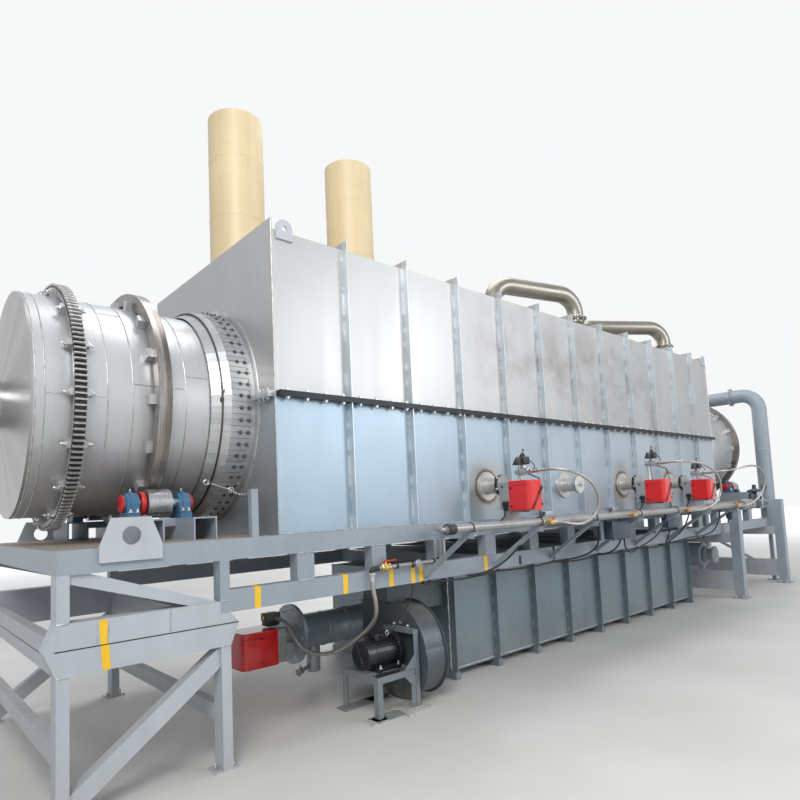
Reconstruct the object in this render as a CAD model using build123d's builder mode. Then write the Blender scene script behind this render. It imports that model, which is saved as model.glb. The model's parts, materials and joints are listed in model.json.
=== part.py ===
"""Continuous carbonization furnace: a gas-fired rotary drum in a long sheet-steel casing."""
from build123d import *
import math
import os

# Frame of the model: X along the drum from inlet to outlet, Y across it away from the
# burner side, Z up from the floor. The origin is under the middle foot bar of the lower box.

# Casing, in bays between the upright ribs
bay_length = 660
bay_count = 12
casing_width = 2324
casing_wall = 150
roof_top_z = 3744
split_z = 2494
end_sheet = 10
end_rise = 88
rib_out = 60
rib_sheet = 8
split_flange = 22

# Rotary drum
drum_z = 2468
drum_radius = 800
drum_plate = 16
inlet_overhang = 1460
outlet_overhang = 2000
drum_gap = 40
end_cone = 60
neck_radius = 170
neck_wall = 14
neck_length = 170
neck_flange = 40

# Riding rings and the blocks that hold them
ring_radius = 926
ring_depth = 90
ring_width = 91
inlet_ring_reach = 700
outlet_ring_reach = 1850
block_count = 16
block_arc = 4.5
block_reach = 42
block_height = 70

# Girth gear
tooth_count = 148
tooth_module = 12
gear_width = 72
gear_reach = 1215
gear_rim = 36
bracket_sheet = 26
bracket_arc = 3.2

# Support rollers, two under each ring
roller_radius = 100
roller_width = 160
roller_angle = 44
shaft_radius = 35
shaft_gap = 0.08
bearing_width = 80
bearing_pitch = 350
bearing_foot = 190
bearing_ring = 72
bearing_base = 36
bearing_rib = 7
bearing_rib_width = 30
cap_height = 14
cap_inset = 14
base_channel = 160
base_sheet = 10
base_tie_drop = 45

# Fish-scale seals at both ends of the casing
seal_radius = 876
seal_sheet = 8
seal_ring = 50
seal_root = 20
seal_collar = 200
seal_reach = 330
scale_sheet = 3
scale_count = 60
scale_seam = 1.5
scale_lift = 12
clamp_plate_width = 78
clamp_plate_inset = 4
rope_radius = 7
rope_reach = 262

# Chimneys and roof ducts
stack_radius = 250
stack_wall = 80
stack_top_z = 5300
stack_one_x = 330
stack_pitch = 1320
base_flange = 60
base_flange_sheet = 14
duct_radius = 110
duct_sheet = 6
duct_rise = 640
duct_bend = 260
duct_cone_radius = 260
duct_legs = (((7.5, 500), (5.5, 850)), ((11.5, 500), (9.5, 1300)))

# Frame of box channels under the casing
rail_height = 137
rail_depth = 100
rail_top_z = 1468
lower_rail_top_z = 1136
lower_rail_height = 145
rail_out = 60
post_width = 145
post_pitch = 690
first_post_x = 107
beam_width = 110

# Stands under the drum ends
stand_leg_width = 67
stand_leg_depth = 125
stand_left_x = -1425
stand_right_x = -411
stand_beam_top_z = 1068
stand_beam_mid_z = 923
stand_beam_low_z = 781
stand_beam_tip = 60
brace_width = 100
brace_inset = 20
tie_height = 100
tie_z = 300
foot_sheet = 12
deck_sheet = 6
foot_side = 200
portal_x = 7830
portal_width = 140
portal_depth = 140
portal_out = 320
portal_span = 2070
portal_beam_z = 115
portal_beam_height = 145
portal_brace = 80
portal_brace_reach = 950
foot_rim = 40

# Lower box
box_start = 1925
box_bay = 655
box_bay_count = 8
box_width = 1866
box_bottom_z = 70
foot_bar = 60

# Burner ports in the near wall
port_z = 1790
port_first_bay = 3.5
port_bay_step = 2
port_count = 4
port_flange_radius = 135
port_flange_sheet = 20
port_tube_radius = 75
port_tube_length = 150
port_knob_radius = 22
clamp_radius = 92
clamp_width = 40
burner_flange_radius = 100
burner_flange_sheet = 16
burner_body = 120
burner_inset = 10
burner_length = 235
burner_width = 215
burner_height = 273
burner_lift = 32
burner_round = 45
burner_edge = 8
burner_foot = 60
lit_ports = (0, 2, 3)

# Gas line
header_radius = 35
header_y = -600
header_z = 1440
header_start = 1100
header_end = 7200
header_cap = 6
header_cap_length = 75
arm_side = 50
arm_sheet = 6
arm_first_x = 1350
arm_pitch = 920
arm_count = 7
shelf_sheet = 4
drop_radius = 17
drop_x = 1565
drop_z = 1155
drop_out = 40
drop_bend = 30
drop_valve_x = 898
drop_valve_radius = 27
drop_valve_length = 80
drop_end_x = 755
drop_end_z = 1105
drop_lever = 110
tap_radius = 20
tap_length = 70
tap_out = 90
tap_drop = 5
tap_places = (30, 236, 518)
spare_tap_x = 3849

# Gas valves, each on a pipe from the side of its burner
valve_pipe_radius = 14
valve_out = 150
valve_elbow_drop = 30
valve_rises = (125, 240, 125)
valve_body_radius = 34
valve_body_length = 160
union_radius = 22
union_length = 108
coil_side = 100
coil_height = 74
coil_gap = 30
dome_radius = 30
dome_top_radius = 12
dome_height = 42
low_valve_length = 150
low_valve_side = 110
low_valve_rise = 15
low_valve_height = 110
low_valve_nipple = 20

# Hoses
burner_hose = 26
chamber_hose = 34

# Under the casing: combustion chamber, its burner and the fan
chamber_z = 500
chamber_radius = 160
chamber_start = 780
chamber_disc_radius = 270
chamber_disc_sheet = 20
chamber_stub_radius = 65
chamber_stub_x = 1010
chamber_stub_drop = 380
chamber_joint_x = 560
chamber_joint_width = 40
chamber_joint = 12
chamber_rim = 14
low_burner_gap = 230
low_body = 90
low_cover_length = 340
low_cover_width = 300
low_cover_height = 310
low_cover_drop = 210
fan_x = 1220
fan_y = 120
fan_z = 450
fan_width = 240
fan_near = 280
fan_bottom = 410
fan_far = 500
fan_outlet_z = 790
fan_outlet_width = 340
fan_rim = 18
fan_rim_sheet = 5
fan_inlet_radius = 150
fan_inlet_bore = 130
fan_inlet_length = 60
fan_elbow_drop = 100
fan_elbow_gap = 20
motor_radius = 115
motor_core = 101
motor_length = 380
motor_cowl = 80
motor_bell = 55
motor_fin = 5
motor_fin_count = 30
motor_shaft_radius = 24
motor_shaft = 60
motor_foot = 15
motor_box_side = 90
motor_box_rise = 35
fan_stand_leg = 50
fan_stand_sheet = 6
fan_stand_width = 460

# Outlet hood and gas off-take
hood_gap = 30
hood_radius = 450
hood_length = 480
hood_sheet = 8
post_half = 70
take_off_radius = 125
take_off_z = 3450
take_off_bend = 300
take_off_end_z = 950
take_off_flange = 40
take_off_joint_y = -700
post_foot = 300
leg_width = 60
leg_foot = 200

# Round housing on a foot post on the beam of the first outlet portal
housing_radius = 185
housing_length = 300
housing_y = -750
housing_z = 655
housing_neck_radius = 85
housing_flange_radius = 130
housing_flange_sheet = 28
housing_neck_length = 150
housing_foot_radius = 40

# Small parts
lug_sheet = 20
lug_width = 358
lug_top_width = 228
lug_height = 256
lug_hole = 110
eye_width = 140
eye_height = 158
eye_sheet = 16
eye_hole = 45
chain_post_side = 50
chain_post_height = 329
rail_return = 20
tie_inset = 20
deck_gap = 60
seat = 0.3
move_gap = 6

# Places that follow from the sizes above
casing_length = bay_length * bay_count
half_width = casing_width / 2
near_y = -half_width
casing_x0 = -(box_start + box_bay * box_bay_count / 2)
casing_x1 = casing_x0 + casing_length
casing_z0 = rail_top_z
drum_x0 = casing_x0 - inlet_overhang
drum_x1 = casing_x1 + outlet_overhang
inlet_ring_x = casing_x0 - inlet_ring_reach
outlet_ring_x = casing_x1 + outlet_ring_reach
rail_y0 = near_y - rail_out
hood_x0 = drum_x1 + end_cone + drum_plate + hood_gap
hood_mid = hood_x0 + hood_sheet + hood_length / 2
drum_axis = Axis((0, 0, drum_z), (1, 0, 0))
labelled = []


def across(x):
    """Plane square to the drum at x, with its origin on the drum axis."""
    return Plane(origin=(x, 0, drum_z), x_dir=(0, 1, 0), z_dir=(1, 0, 0))


def block(x0, x1, y0, y1, z0, z1, mode=Mode.ADD):
    """Rectangular block between two corners."""
    with Locations(((x0 + x1) / 2, (y0 + y1) / 2, (z0 + z1) / 2)):
        Box(abs(x1 - x0), abs(y1 - y0), abs(z1 - z0), mode=mode)


def bar_xz(points, y0, depth):
    """Flat plate with an outline in X and Z, from y0 towards the far side."""
    with BuildSketch(Plane(origin=(0, y0, 0), x_dir=(1, 0, 0), z_dir=(0, -1, 0))) as outline:
        with BuildLine():
            Polyline(*points, close=True)
        make_face()
    extrude(outline.sketch, amount=-depth)


def bar_yz(points, x0, depth):
    """Flat plate with an outline in Y and Z, from x0 along X."""
    with BuildSketch(Plane(origin=(x0, 0, 0), x_dir=(0, 1, 0), z_dir=(1, 0, 0))) as outline:
        with BuildLine():
            Polyline(*points, close=True)
        make_face()
    extrude(outline.sketch, amount=depth)


def save(builder, name):
    """Label a finished piece and write its file."""
    builder.part.label = name
    labelled.append(name)
    export_step(builder.part, f"parts/{name}.step")


os.makedirs("parts", exist_ok=True)

# Drum shell: a rolled tube
with BuildPart() as drum_shell:
    with BuildSketch(across(drum_x0)):
        Circle(drum_radius)
        Circle(drum_radius - drum_plate, mode=Mode.SUBTRACT)
    extrude(amount=drum_x1 - drum_x0)
save(drum_shell, "drum_shell")


def turned(outline):
    """Ring turned about the drum axis from an outline in X and Z."""
    with BuildPart() as ring:
        with BuildSketch(Plane.XZ):
            with BuildLine():
                Polyline(*outline, close=True)
            make_face()
        revolve(axis=drum_axis)
    return ring


# Shallow cone at each end of the drum, and the flanged neck bolted to it
neck_bore = neck_radius - neck_wall
for name, x_rim, way in (("inlet", drum_x0, -1), ("outlet", drum_x1, 1)):
    x_cone = x_rim + way * end_cone
    x_neck = x_cone + way * drum_plate
    x_flange = x_neck + way * neck_length
    drum_end = turned([
        (x_rim, drum_z + drum_radius),
        (x_rim + way * drum_plate, drum_z + drum_radius),
        (x_neck, drum_z + neck_radius),
        (x_neck, drum_z + neck_bore),
        (x_cone, drum_z + neck_bore),
        (x_rim, drum_z + drum_radius - drum_plate),
    ])
    save(drum_end, f"drum_{name}_end")
    drum_neck = turned([
        (x_neck, drum_z + neck_bore),
        (x_neck, drum_z + neck_radius),
        (x_flange, drum_z + neck_radius),
        (x_flange, drum_z + neck_radius + neck_flange),
        (x_flange + way * drum_plate, drum_z + neck_radius + neck_flange),
        (x_flange + way * drum_plate, drum_z + neck_bore),
    ])
    save(drum_neck, f"drum_{name}_neck")

# Girth gear: a spur ring with trapezoid teeth
gear_pitch_radius = tooth_count * tooth_module / 2
gear_tip_radius = gear_pitch_radius + tooth_module * 0.85
gear_root_radius = gear_pitch_radius - tooth_module * 1.25
gear_x0 = casing_x0 - gear_reach - gear_width / 2
tooth_half_root = tooth_module * 1.05
tooth_half_tip = tooth_module * 0.42
with BuildPart() as girth_gear:
    with BuildSketch(across(gear_x0)):
        Circle(gear_root_radius)
        with PolarLocations(0, tooth_count):
            Polygon(
                (gear_root_radius - tooth_module / 4, -tooth_half_root),
                (gear_tip_radius, -tooth_half_tip),
                (gear_tip_radius, tooth_half_tip),
                (gear_root_radius - tooth_module / 4, tooth_half_root),
                align=None,
            )
        Circle(gear_root_radius - gear_rim, mode=Mode.SUBTRACT)
    extrude(amount=gear_width)
save(girth_gear, "girth_gear")


def arc_blocks(outline, x, arc, count):
    """Blocks round the drum: an outline in radius and X, turned through a short arc."""
    with BuildPart() as one:
        with BuildSketch(Plane.XZ):
            with BuildLine():
                Polyline(*outline, close=True)
            make_face()
        revolve(axis=Axis.Z, revolution_arc=arc)
    with BuildPart(across(x)) as ring:
        with PolarLocations(0, count):
            add(one.part)
    return ring


# Gear brackets: a forked block under the rim at each seat
gear_seat_radius = gear_root_radius - gear_rim
fork_top = gear_seat_radius + gear_rim * 0.75
with BuildPart() as gear_brackets:
    add(arc_blocks([
        (drum_radius, -bracket_sheet),
        (drum_radius, gear_width + bracket_sheet),
        (fork_top, gear_width + bracket_sheet),
        (fork_top, gear_width + seat),
        (gear_seat_radius - seat, gear_width + seat),
        (gear_seat_radius - seat, -seat),
        (fork_top, -seat),
        (fork_top, -bracket_sheet),
    ], gear_x0, bracket_arc, block_count).part)
save(gear_brackets, "gear_brackets")

# Riding rings
ring_inner = ring_radius - ring_depth
for name, x in (("inlet", inlet_ring_x), ("outlet", outlet_ring_x)):
    with BuildPart() as riding_ring:
        with BuildSketch(across(x - ring_width / 2)):
            Circle(ring_radius)
            Circle(ring_inner, mode=Mode.SUBTRACT)
        extrude(amount=ring_width)
        chamfer(riding_ring.edges().filter_by(GeomType.CIRCLE).group_by(SortBy.RADIUS)[-1], 5)
    save(riding_ring, f"riding_ring_{name}")

# Blocks under both riding rings, each with a stop on the inlet side of its ring
with BuildPart() as ring_blocks:
    for x in (inlet_ring_x, outlet_ring_x):
        add(arc_blocks([
            (drum_radius, -ring_width / 2 - block_reach),
            (drum_radius, ring_width / 2),
            (ring_inner - seat, ring_width / 2),
            (ring_inner - seat, -ring_width / 2 - seat),
            (drum_radius + block_height, -ring_width / 2 - seat),
            (drum_radius + block_height, -ring_width / 2 - block_reach),
        ], x, block_arc, block_count).part)
save(ring_blocks, "ring_blocks")

# Support rollers with their shafts
roller_swing = ring_radius + seat + roller_radius
roller_y = roller_swing * math.sin(math.radians(roller_angle))
roller_z = drum_z - roller_swing * math.cos(math.radians(roller_angle))
shaft_half = bearing_pitch / 2 + bearing_width / 2
for name, x in (("inlet", inlet_ring_x), ("outlet", outlet_ring_x)):
    for side, y in (("near", -roller_y), ("far", roller_y)):
        with BuildPart() as roller:
            with BuildSketch(Plane(origin=(x - shaft_half, y, roller_z), x_dir=(0, 1, 0), z_dir=(1, 0, 0))):
                Circle(shaft_radius)
            extrude(amount=2 * shaft_half)
            plane = Plane(origin=(x - roller_width / 2, y, roller_z), x_dir=(0, 1, 0), z_dir=(1, 0, 0))
            with BuildSketch(plane):
                Circle(roller_radius)
            extrude(amount=roller_width)
        save(roller, f"roller_{name}_{side}")

# Plummer blocks: a foot, an arched body with a rib over it, and a cap on the outer side
bearing_foot_z = roller_z - bearing_ring - bearing_base
with BuildPart() as roller_bearings:
    for x in (inlet_ring_x, outlet_ring_x):
        for y in (-roller_y, roller_y):
            for way in (-1, 1):
                x_mid = x + way * bearing_pitch / 2
                block(x_mid - bearing_width / 2, x_mid + bearing_width / 2,
                      y - bearing_foot / 2, y + bearing_foot / 2, bearing_foot_z, bearing_foot_z + bearing_base)
                for width, rise in ((bearing_width, 0), (bearing_rib_width, bearing_rib)):
                    plane = Plane(origin=(x_mid - width / 2, y, roller_z), x_dir=(0, 1, 0), z_dir=(1, 0, 0))
                    with BuildSketch(plane):
                        Circle(bearing_ring + rise)
                        with Locations((0, -bearing_ring / 2 - 1)):
                            Rectangle(2 * (bearing_ring + rise), bearing_ring + 2)
                    extrude(amount=width)
                plane = Plane(origin=(x_mid - bearing_width / 2, y, roller_z), x_dir=(0, 1, 0), z_dir=(1, 0, 0))
                with BuildSketch(plane):
                    Circle(shaft_radius + shaft_gap)
                extrude(amount=bearing_width, mode=Mode.SUBTRACT)
                x_cap = x_mid + way * bearing_width / 2 - (cap_height if way < 0 else 0)
                with BuildSketch(Plane(origin=(x_cap, y, roller_z), x_dir=(0, 1, 0), z_dir=(1, 0, 0))):
                    Circle(bearing_ring - cap_inset)
                extrude(amount=cap_height)
save(roller_bearings, "roller_bearings")

# Roller bases: a channel under each plummer block, open below, and a tie between the two
deck_top = rail_top_z + deck_sheet
beam_y = half_width + rail_out - rail_depth
base_end = roller_y - bearing_foot / 2 - base_sheet
with BuildPart() as roller_bases:
    for x in (inlet_ring_x, outlet_ring_x):
        for side in (-1, 1):
            for way in (-1, 1):
                x_mid = x + way * bearing_pitch / 2
                x0, x1 = x_mid - base_channel / 2, x_mid + base_channel / 2
                block(x0, x1, side * base_end, side * beam_y, bearing_foot_z - base_sheet, bearing_foot_z)
                for x_web in (x0, x1 - base_sheet):
                    block(x_web, x_web + base_sheet, side * base_end, side * beam_y,
                          deck_top, bearing_foot_z - base_sheet)
            x_in = bearing_pitch / 2 - base_channel / 2
            y_tie = roller_y + roller_radius
            block(x - x_in, x + x_in, side * base_end, side * y_tie,
                  bearing_foot_z - base_tie_drop - base_sheet, bearing_foot_z - base_tie_drop)
            block(x - x_in, x + x_in, side * (y_tie - base_sheet), side * y_tie,
                  bearing_foot_z - base_tie_drop, bearing_foot_z)
save(roller_bases, "roller_bases")

seal_drop = seal_radius - drum_radius - scale_lift
seal_ends = ((casing_x0, -1), (casing_x1, 1))
with BuildPart() as seal_collars:
    for x_face, way in seal_ends:
        with BuildSketch(across(min(x_face, x_face + way * seal_collar))):
            Circle(seal_radius)
            Circle(seal_radius - seal_sheet, mode=Mode.SUBTRACT)
        extrude(amount=seal_collar)
        with BuildSketch(across(min(x_face, x_face + way * seal_sheet))):
            Circle(seal_radius + seal_ring)
            Circle(seal_radius - seal_sheet, mode=Mode.SUBTRACT)
        extrude(amount=seal_sheet)
save(seal_collars, "seal_collars")


half_share = math.radians(180 / scale_count)
leaf_low = seal_radius + seat


def seal_leaf(way):
    """One leaf: flat on the collar, then sloping down to the drum, cut to its share of the circle."""
    with BuildPart() as leaf:
        with BuildSketch(Plane.XZ):
            with BuildLine():
                Polyline(
                    (leaf_low, seal_root * way),
                    (leaf_low, seal_collar * way),
                    (leaf_low - seal_drop, seal_reach * way),
                    (leaf_low - seal_drop + scale_sheet, seal_reach * way),
                    (leaf_low + scale_sheet, seal_collar * way),
                    (leaf_low + scale_sheet, seal_root * way),
                    close=True,
                )
            make_face()
        extrude(amount=seal_radius * math.tan(half_share) + scale_sheet, both=True)
        for side in (-1, 1):
            outward = Vector(-math.sin(half_share), side * math.cos(half_share), 0)
            split(bisect_by=Plane(origin=outward * (-scale_seam / 2), z_dir=outward), keep=Keep.BOTTOM)
    return leaf.part


def clamp_plate(way):
    """The plate that clamps one leaf to the collar."""
    low = leaf_low + scale_sheet + seat
    with BuildPart() as plate:
        block(low, low + scale_sheet, -clamp_plate_width / 2, clamp_plate_width / 2,
              way * seal_root, way * (seal_collar - clamp_plate_inset))
    return plate.part


scale_kit = [(x_face, piece(way)) for x_face, way in seal_ends for piece in (seal_leaf, clamp_plate)]
with BuildPart() as seal_scales:
    for x_face, piece in scale_kit:
        with Locations(across(x_face).location):
            with PolarLocations(0, scale_count):
                add(piece)
save(seal_scales, "seal_scales")

# Wire rope that holds the leaves down, near their outer ends
leaf_fall = seal_drop / (seal_reach - seal_collar)
rope_seat = leaf_low + scale_sheet - (rope_reach - seal_collar) * leaf_fall
rope_ring = rope_seat / math.cos(half_share) + (rope_radius + seat) / math.cos(math.atan(leaf_fall))
with BuildPart() as seal_ropes:
    for x in (casing_x0 - rope_reach, casing_x1 + rope_reach):
        with Locations(across(x).location):
            Torus(rope_ring, rope_radius)
save(seal_ropes, "seal_ropes")

# Casing walls: upper and lower halves on each side, with upright ribs and a bolted flange
wall_x0 = casing_x0 + end_sheet
wall_x1 = casing_x1 - end_sheet
for side_name, side in (("near", -1), ("far", 1)):
    face = side * half_width
    inside = side * (half_width - casing_wall)
    edge = side * (half_width + rib_out)
    for half_name, z0, z1 in (("lower", casing_z0, split_z), ("upper", split_z, roof_top_z)):
        flange_way = 1 if half_name == "upper" else -1
        rib_top = z1 + rib_out if half_name == "upper" else z1
        with BuildPart() as wall:
            block(wall_x0, wall_x1, inside, face, z0, z1)
            block(wall_x0, wall_x1, face, edge, split_z, split_z + flange_way * split_flange)
            for i in range(1, bay_count):
                x = casing_x0 + i * bay_length
                block(x - rib_sheet / 2, x + rib_sheet / 2, face, edge, z0, rib_top)
        save(wall, f"casing_{side_name}_{half_name}")

# Casing ends: a sheet over the whole end with the lining behind it, round the drum
hole_radius = drum_radius + drum_gap
lining_y = half_width - casing_wall
for end_name, x_out, way in (("inlet", casing_x0, 1), ("outlet", casing_x1, -1)):
    for half_name, z0, z1 in (("lower", casing_z0, split_z), ("upper", split_z, roof_top_z + end_rise)):
        upper = half_name == "upper"
        lining_z0 = z0 if upper else casing_z0 + casing_wall
        lining_z1 = roof_top_z - casing_wall if upper else z1
        flange_way = 1 if upper else -1
        with BuildPart() as end_wall:
            block(x_out, x_out + way * end_sheet, -half_width, half_width, z0, z1)
            block(x_out + way * end_sheet, x_out + way * casing_wall, -lining_y, lining_y, lining_z0, lining_z1)
            for side in (-1, 1):
                block(x_out, x_out - way * rib_out, side * (seal_radius + seal_ring + 2), side * half_width,
                      split_z, split_z + flange_way * split_flange)
            with BuildSketch(across(min(x_out, x_out + way * casing_wall))):
                Circle(hole_radius)
            extrude(amount=casing_wall, mode=Mode.SUBTRACT)
        save(end_wall, f"casing_{end_name}_{half_name}")

# Casing floor and roof; the roof carries cross bars at the ribs and is open under each chimney
with BuildPart() as casing_floor:
    block(wall_x0, wall_x1, -lining_y, lining_y, casing_z0, casing_z0 + casing_wall)
save(casing_floor, "casing_floor")

stack_xs = [casing_x0 + stack_one_x + k * stack_pitch for k in (0, 1)]
stack_bore = stack_radius - stack_wall
duct_bore = duct_radius - duct_sheet
duct_feet = [[(casing_x0 + bay_length * a, near_y + b) for a, b in legs] for legs in duct_legs]
with BuildPart() as casing_roof:
    block(wall_x0, wall_x1, -lining_y, lining_y, roof_top_z - casing_wall, roof_top_z)
    for i in range(1, bay_count):
        x = casing_x0 + i * bay_length
        block(x - rib_sheet / 2, x + rib_sheet / 2, -half_width, half_width, roof_top_z, roof_top_z + rib_out)
    with Locations(*[(x, 0, roof_top_z - casing_wall / 2) for x in stack_xs]):
        Cylinder(stack_bore, casing_wall, mode=Mode.SUBTRACT)
    with Locations(*[(x, y, roof_top_z - casing_wall / 2) for legs in duct_feet for x, y in legs]):
        Cylinder(duct_bore, casing_wall, mode=Mode.SUBTRACT)
save(casing_roof, "casing_roof")

# Chimneys with their base flanges
for k, x in enumerate(stack_xs):
    with BuildPart() as chimney:
        with BuildSketch(Plane((x, 0, roof_top_z))):
            Circle(stack_radius + base_flange)
            Circle(stack_bore, mode=Mode.SUBTRACT)
        extrude(amount=base_flange_sheet)
        with BuildSketch(Plane((x, 0, roof_top_z))):
            Circle(stack_radius)
            Circle(stack_bore, mode=Mode.SUBTRACT)
        extrude(amount=stack_top_z - roof_top_z)
    save(chimney, f"chimney_{k + 1}")

# Goose-neck ducts between roof openings, each leg on a flanged cone
cone_height = 260
duct_top = roof_top_z + duct_rise
duct_foot = roof_top_z + cone_height
with BuildPart() as roof_ducts:
    for (xa, ya), (xb, yb) in duct_feet:
        with BuildLine():
            FilletPolyline((xa, ya, duct_foot), (xa, ya, duct_top), (xb, yb, duct_top), (xb, yb, duct_foot),
                           radius=duct_bend)
        with BuildSketch(Plane((xa, ya, duct_foot))):
            Circle(duct_radius)
            Circle(duct_bore, mode=Mode.SUBTRACT)
        sweep()
        for x, y in ((xa, ya), (xb, yb)):
            with BuildSketch(Plane.XZ.offset(-y)):
                with BuildLine():
                    Polyline(
                        (x + duct_bore, duct_foot),
                        (x + duct_radius, duct_foot),
                        (x + duct_cone_radius, roof_top_z + base_flange_sheet),
                        (x + duct_cone_radius + base_flange / 2, roof_top_z + base_flange_sheet),
                        (x + duct_cone_radius + base_flange / 2, roof_top_z),
                        (x + duct_cone_radius - duct_sheet, roof_top_z),
                        close=True,
                    )
                make_face()
            revolve(axis=Axis((x, y, 0), (0, 0, 1)))
save(roof_ducts, "roof_ducts")

# Side frames: two box rails with posts between them
frame_x0 = casing_x0 + stand_left_x
frame_x1 = casing_x0 + portal_x + portal_span + portal_width
lower_rail_z0 = lower_rail_top_z - lower_rail_height
rail_z0 = rail_top_z - rail_height
post_xs = []
x = casing_x0 + first_post_x
while x + post_width < frame_x1 - post_width:
    post_xs.append(x)
    x += post_pitch
for side_name, side in (("near", -1), ("far", 1)):
    outer = side * (half_width + rail_out)
    inner = outer - side * rail_depth
    with BuildPart() as frame_side:
        block(frame_x0, frame_x1, inner, outer, rail_z0, rail_top_z)
        block(casing_x0 + stand_right_x - stand_leg_width, frame_x1, inner, outer, lower_rail_z0, lower_rail_top_z)
        block(casing_x0 + stand_right_x - stand_leg_width, casing_x0 + stand_right_x, inner, outer,
              lower_rail_top_z, rail_z0)
        for x in post_xs:
            block(x, x + post_width, inner, outer, lower_rail_top_z, rail_z0)
    save(frame_side, f"frame_side_{side_name}")

# Cross beams between the side frames
roller_beam_xs = [x + way * bearing_pitch / 2 for x in (inlet_ring_x, outlet_ring_x) for way in (-1, 1)]
box_x0 = casing_x0 + box_start
box_x1 = box_x0 + box_bay * box_bay_count
with BuildPart() as cross_beams:
    for x in roller_beam_xs + [x + post_width / 2 for x in post_xs if x < casing_x1]:
        block(x - beam_width / 2, x + beam_width / 2, -beam_y, beam_y, rail_z0, rail_top_z)
    block(frame_x0, frame_x0 + beam_width, -beam_y, beam_y, rail_z0, rail_top_z)
    for x in [x + post_width / 2 for x in post_xs]:
        if box_x0 < x - beam_width and x + beam_width < box_x1:
            block(x - beam_width / 2, x + beam_width / 2, -beam_y, beam_y, lower_rail_z0, lower_rail_top_z)
save(cross_beams, "cross_beams")

# Deck sheets under the drum ends
with BuildPart() as deck_sheets:
    block(frame_x0, casing_x0 - deck_gap, -beam_y, beam_y, rail_top_z, deck_top)
    block(casing_x1 + deck_gap, frame_x1, -beam_y, beam_y, rail_top_z, deck_top)
save(deck_sheets, "deck_sheets")

# Inlet stand: a braced frame on each side, with a deep beam whose ends are cut to a point
for side_name, side in (("near", -1), ("far", 1)):
    y0 = side * (half_width + rail_out)
    y1 = y0 - side * stand_leg_depth
    low_y, depth = min(y0, y1), abs(y1 - y0)
    left = casing_x0 + stand_left_x
    right = casing_x0 + stand_right_x
    with BuildPart() as stand:
        for x in (left, right - stand_leg_width):
            block(x, x + stand_leg_width, y0, y1, 0, stand_beam_low_z)
            block(x - foot_side / 4, x + stand_leg_width + foot_side / 4, y0, y1, 0, foot_sheet)
        block(left, left + stand_leg_width, y0, y1, stand_beam_top_z, rail_z0)
        bar_xz([
            (left, stand_beam_low_z), (right, stand_beam_low_z),
            (right + stand_beam_tip, stand_beam_mid_z), (right, lower_rail_z0),
            (right - stand_leg_width, lower_rail_z0), (right - stand_leg_width, stand_beam_top_z),
            (left, stand_beam_top_z), (left - stand_beam_tip, stand_beam_mid_z),
        ], low_y, depth)
        bar_xz([
            (left + stand_leg_width, rail_z0 - brace_width / 2), (left + stand_leg_width, rail_z0),
            (left + stand_leg_width + brace_width, rail_z0), (right - stand_leg_width, stand_beam_top_z),
            (right - stand_leg_width - brace_width * 2, stand_beam_top_z),
        ], low_y + brace_inset, depth - 2 * brace_inset)
        bar_xz([
            (right - stand_leg_width, stand_beam_low_z), (right - stand_leg_width, stand_beam_low_z - brace_width * 1.3),
            (left + stand_leg_width, foot_sheet), (left + stand_leg_width, foot_sheet + brace_width * 1.3),
        ], low_y + brace_inset, depth - 2 * brace_inset)
    save(stand, f"inlet_stand_{side_name}")


# Outlet stand: two portals whose columns stand outside the rails
column_y1 = half_width + portal_out
column_y0 = column_y1 - portal_depth
portal_xs = [casing_x0 + portal_x, casing_x0 + portal_x + portal_span]
with BuildPart() as outlet_columns:
    for x in portal_xs:
        for side in (-1, 1):
            block(x, x + portal_width, side * column_y0, side * column_y1, 0, rail_top_z)
            block(x - foot_rim, x + portal_width + foot_rim,
                  side * (column_y0 - foot_rim), side * (column_y1 + foot_rim), 0, foot_sheet)
save(outlet_columns, "outlet_columns")

# Ties across both stands
stand_y = half_width + rail_out - stand_leg_depth
with BuildPart() as stand_ties:
    for x in (casing_x0 + stand_left_x, casing_x0 + stand_right_x - stand_leg_width):
        block(x, x + stand_leg_width, -stand_y, stand_y, tie_z, tie_z + tie_height)
        block(x, x + stand_leg_width, -stand_y, stand_y, stand_beam_low_z, stand_beam_top_z - brace_width)
    for x in portal_xs:
        block(x, x + portal_width, -column_y0, column_y0, lower_rail_z0 - portal_width, lower_rail_z0)
        block(x + tie_inset, x + portal_width - tie_inset, -column_y0, column_y0,
              portal_beam_z, portal_beam_z + 2 * portal_beam_height)
    for side in (-1, 1):
        top, foot = lower_rail_z0 - portal_width, portal_beam_z + 2 * portal_beam_height
        bar_yz([
            (side * tie_height, top), (side * (tie_height + portal_brace), top),
            (side * portal_brace_reach, foot), (side * (portal_brace_reach - portal_brace), foot),
        ], portal_xs[1] + 2 * tie_inset, portal_width - 4 * tie_inset)
    block(portal_xs[1] + portal_width, hood_mid - post_half, -post_half, post_half,
          lower_rail_z0 - portal_width, lower_rail_z0)
save(stand_ties, "stand_ties")

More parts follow.
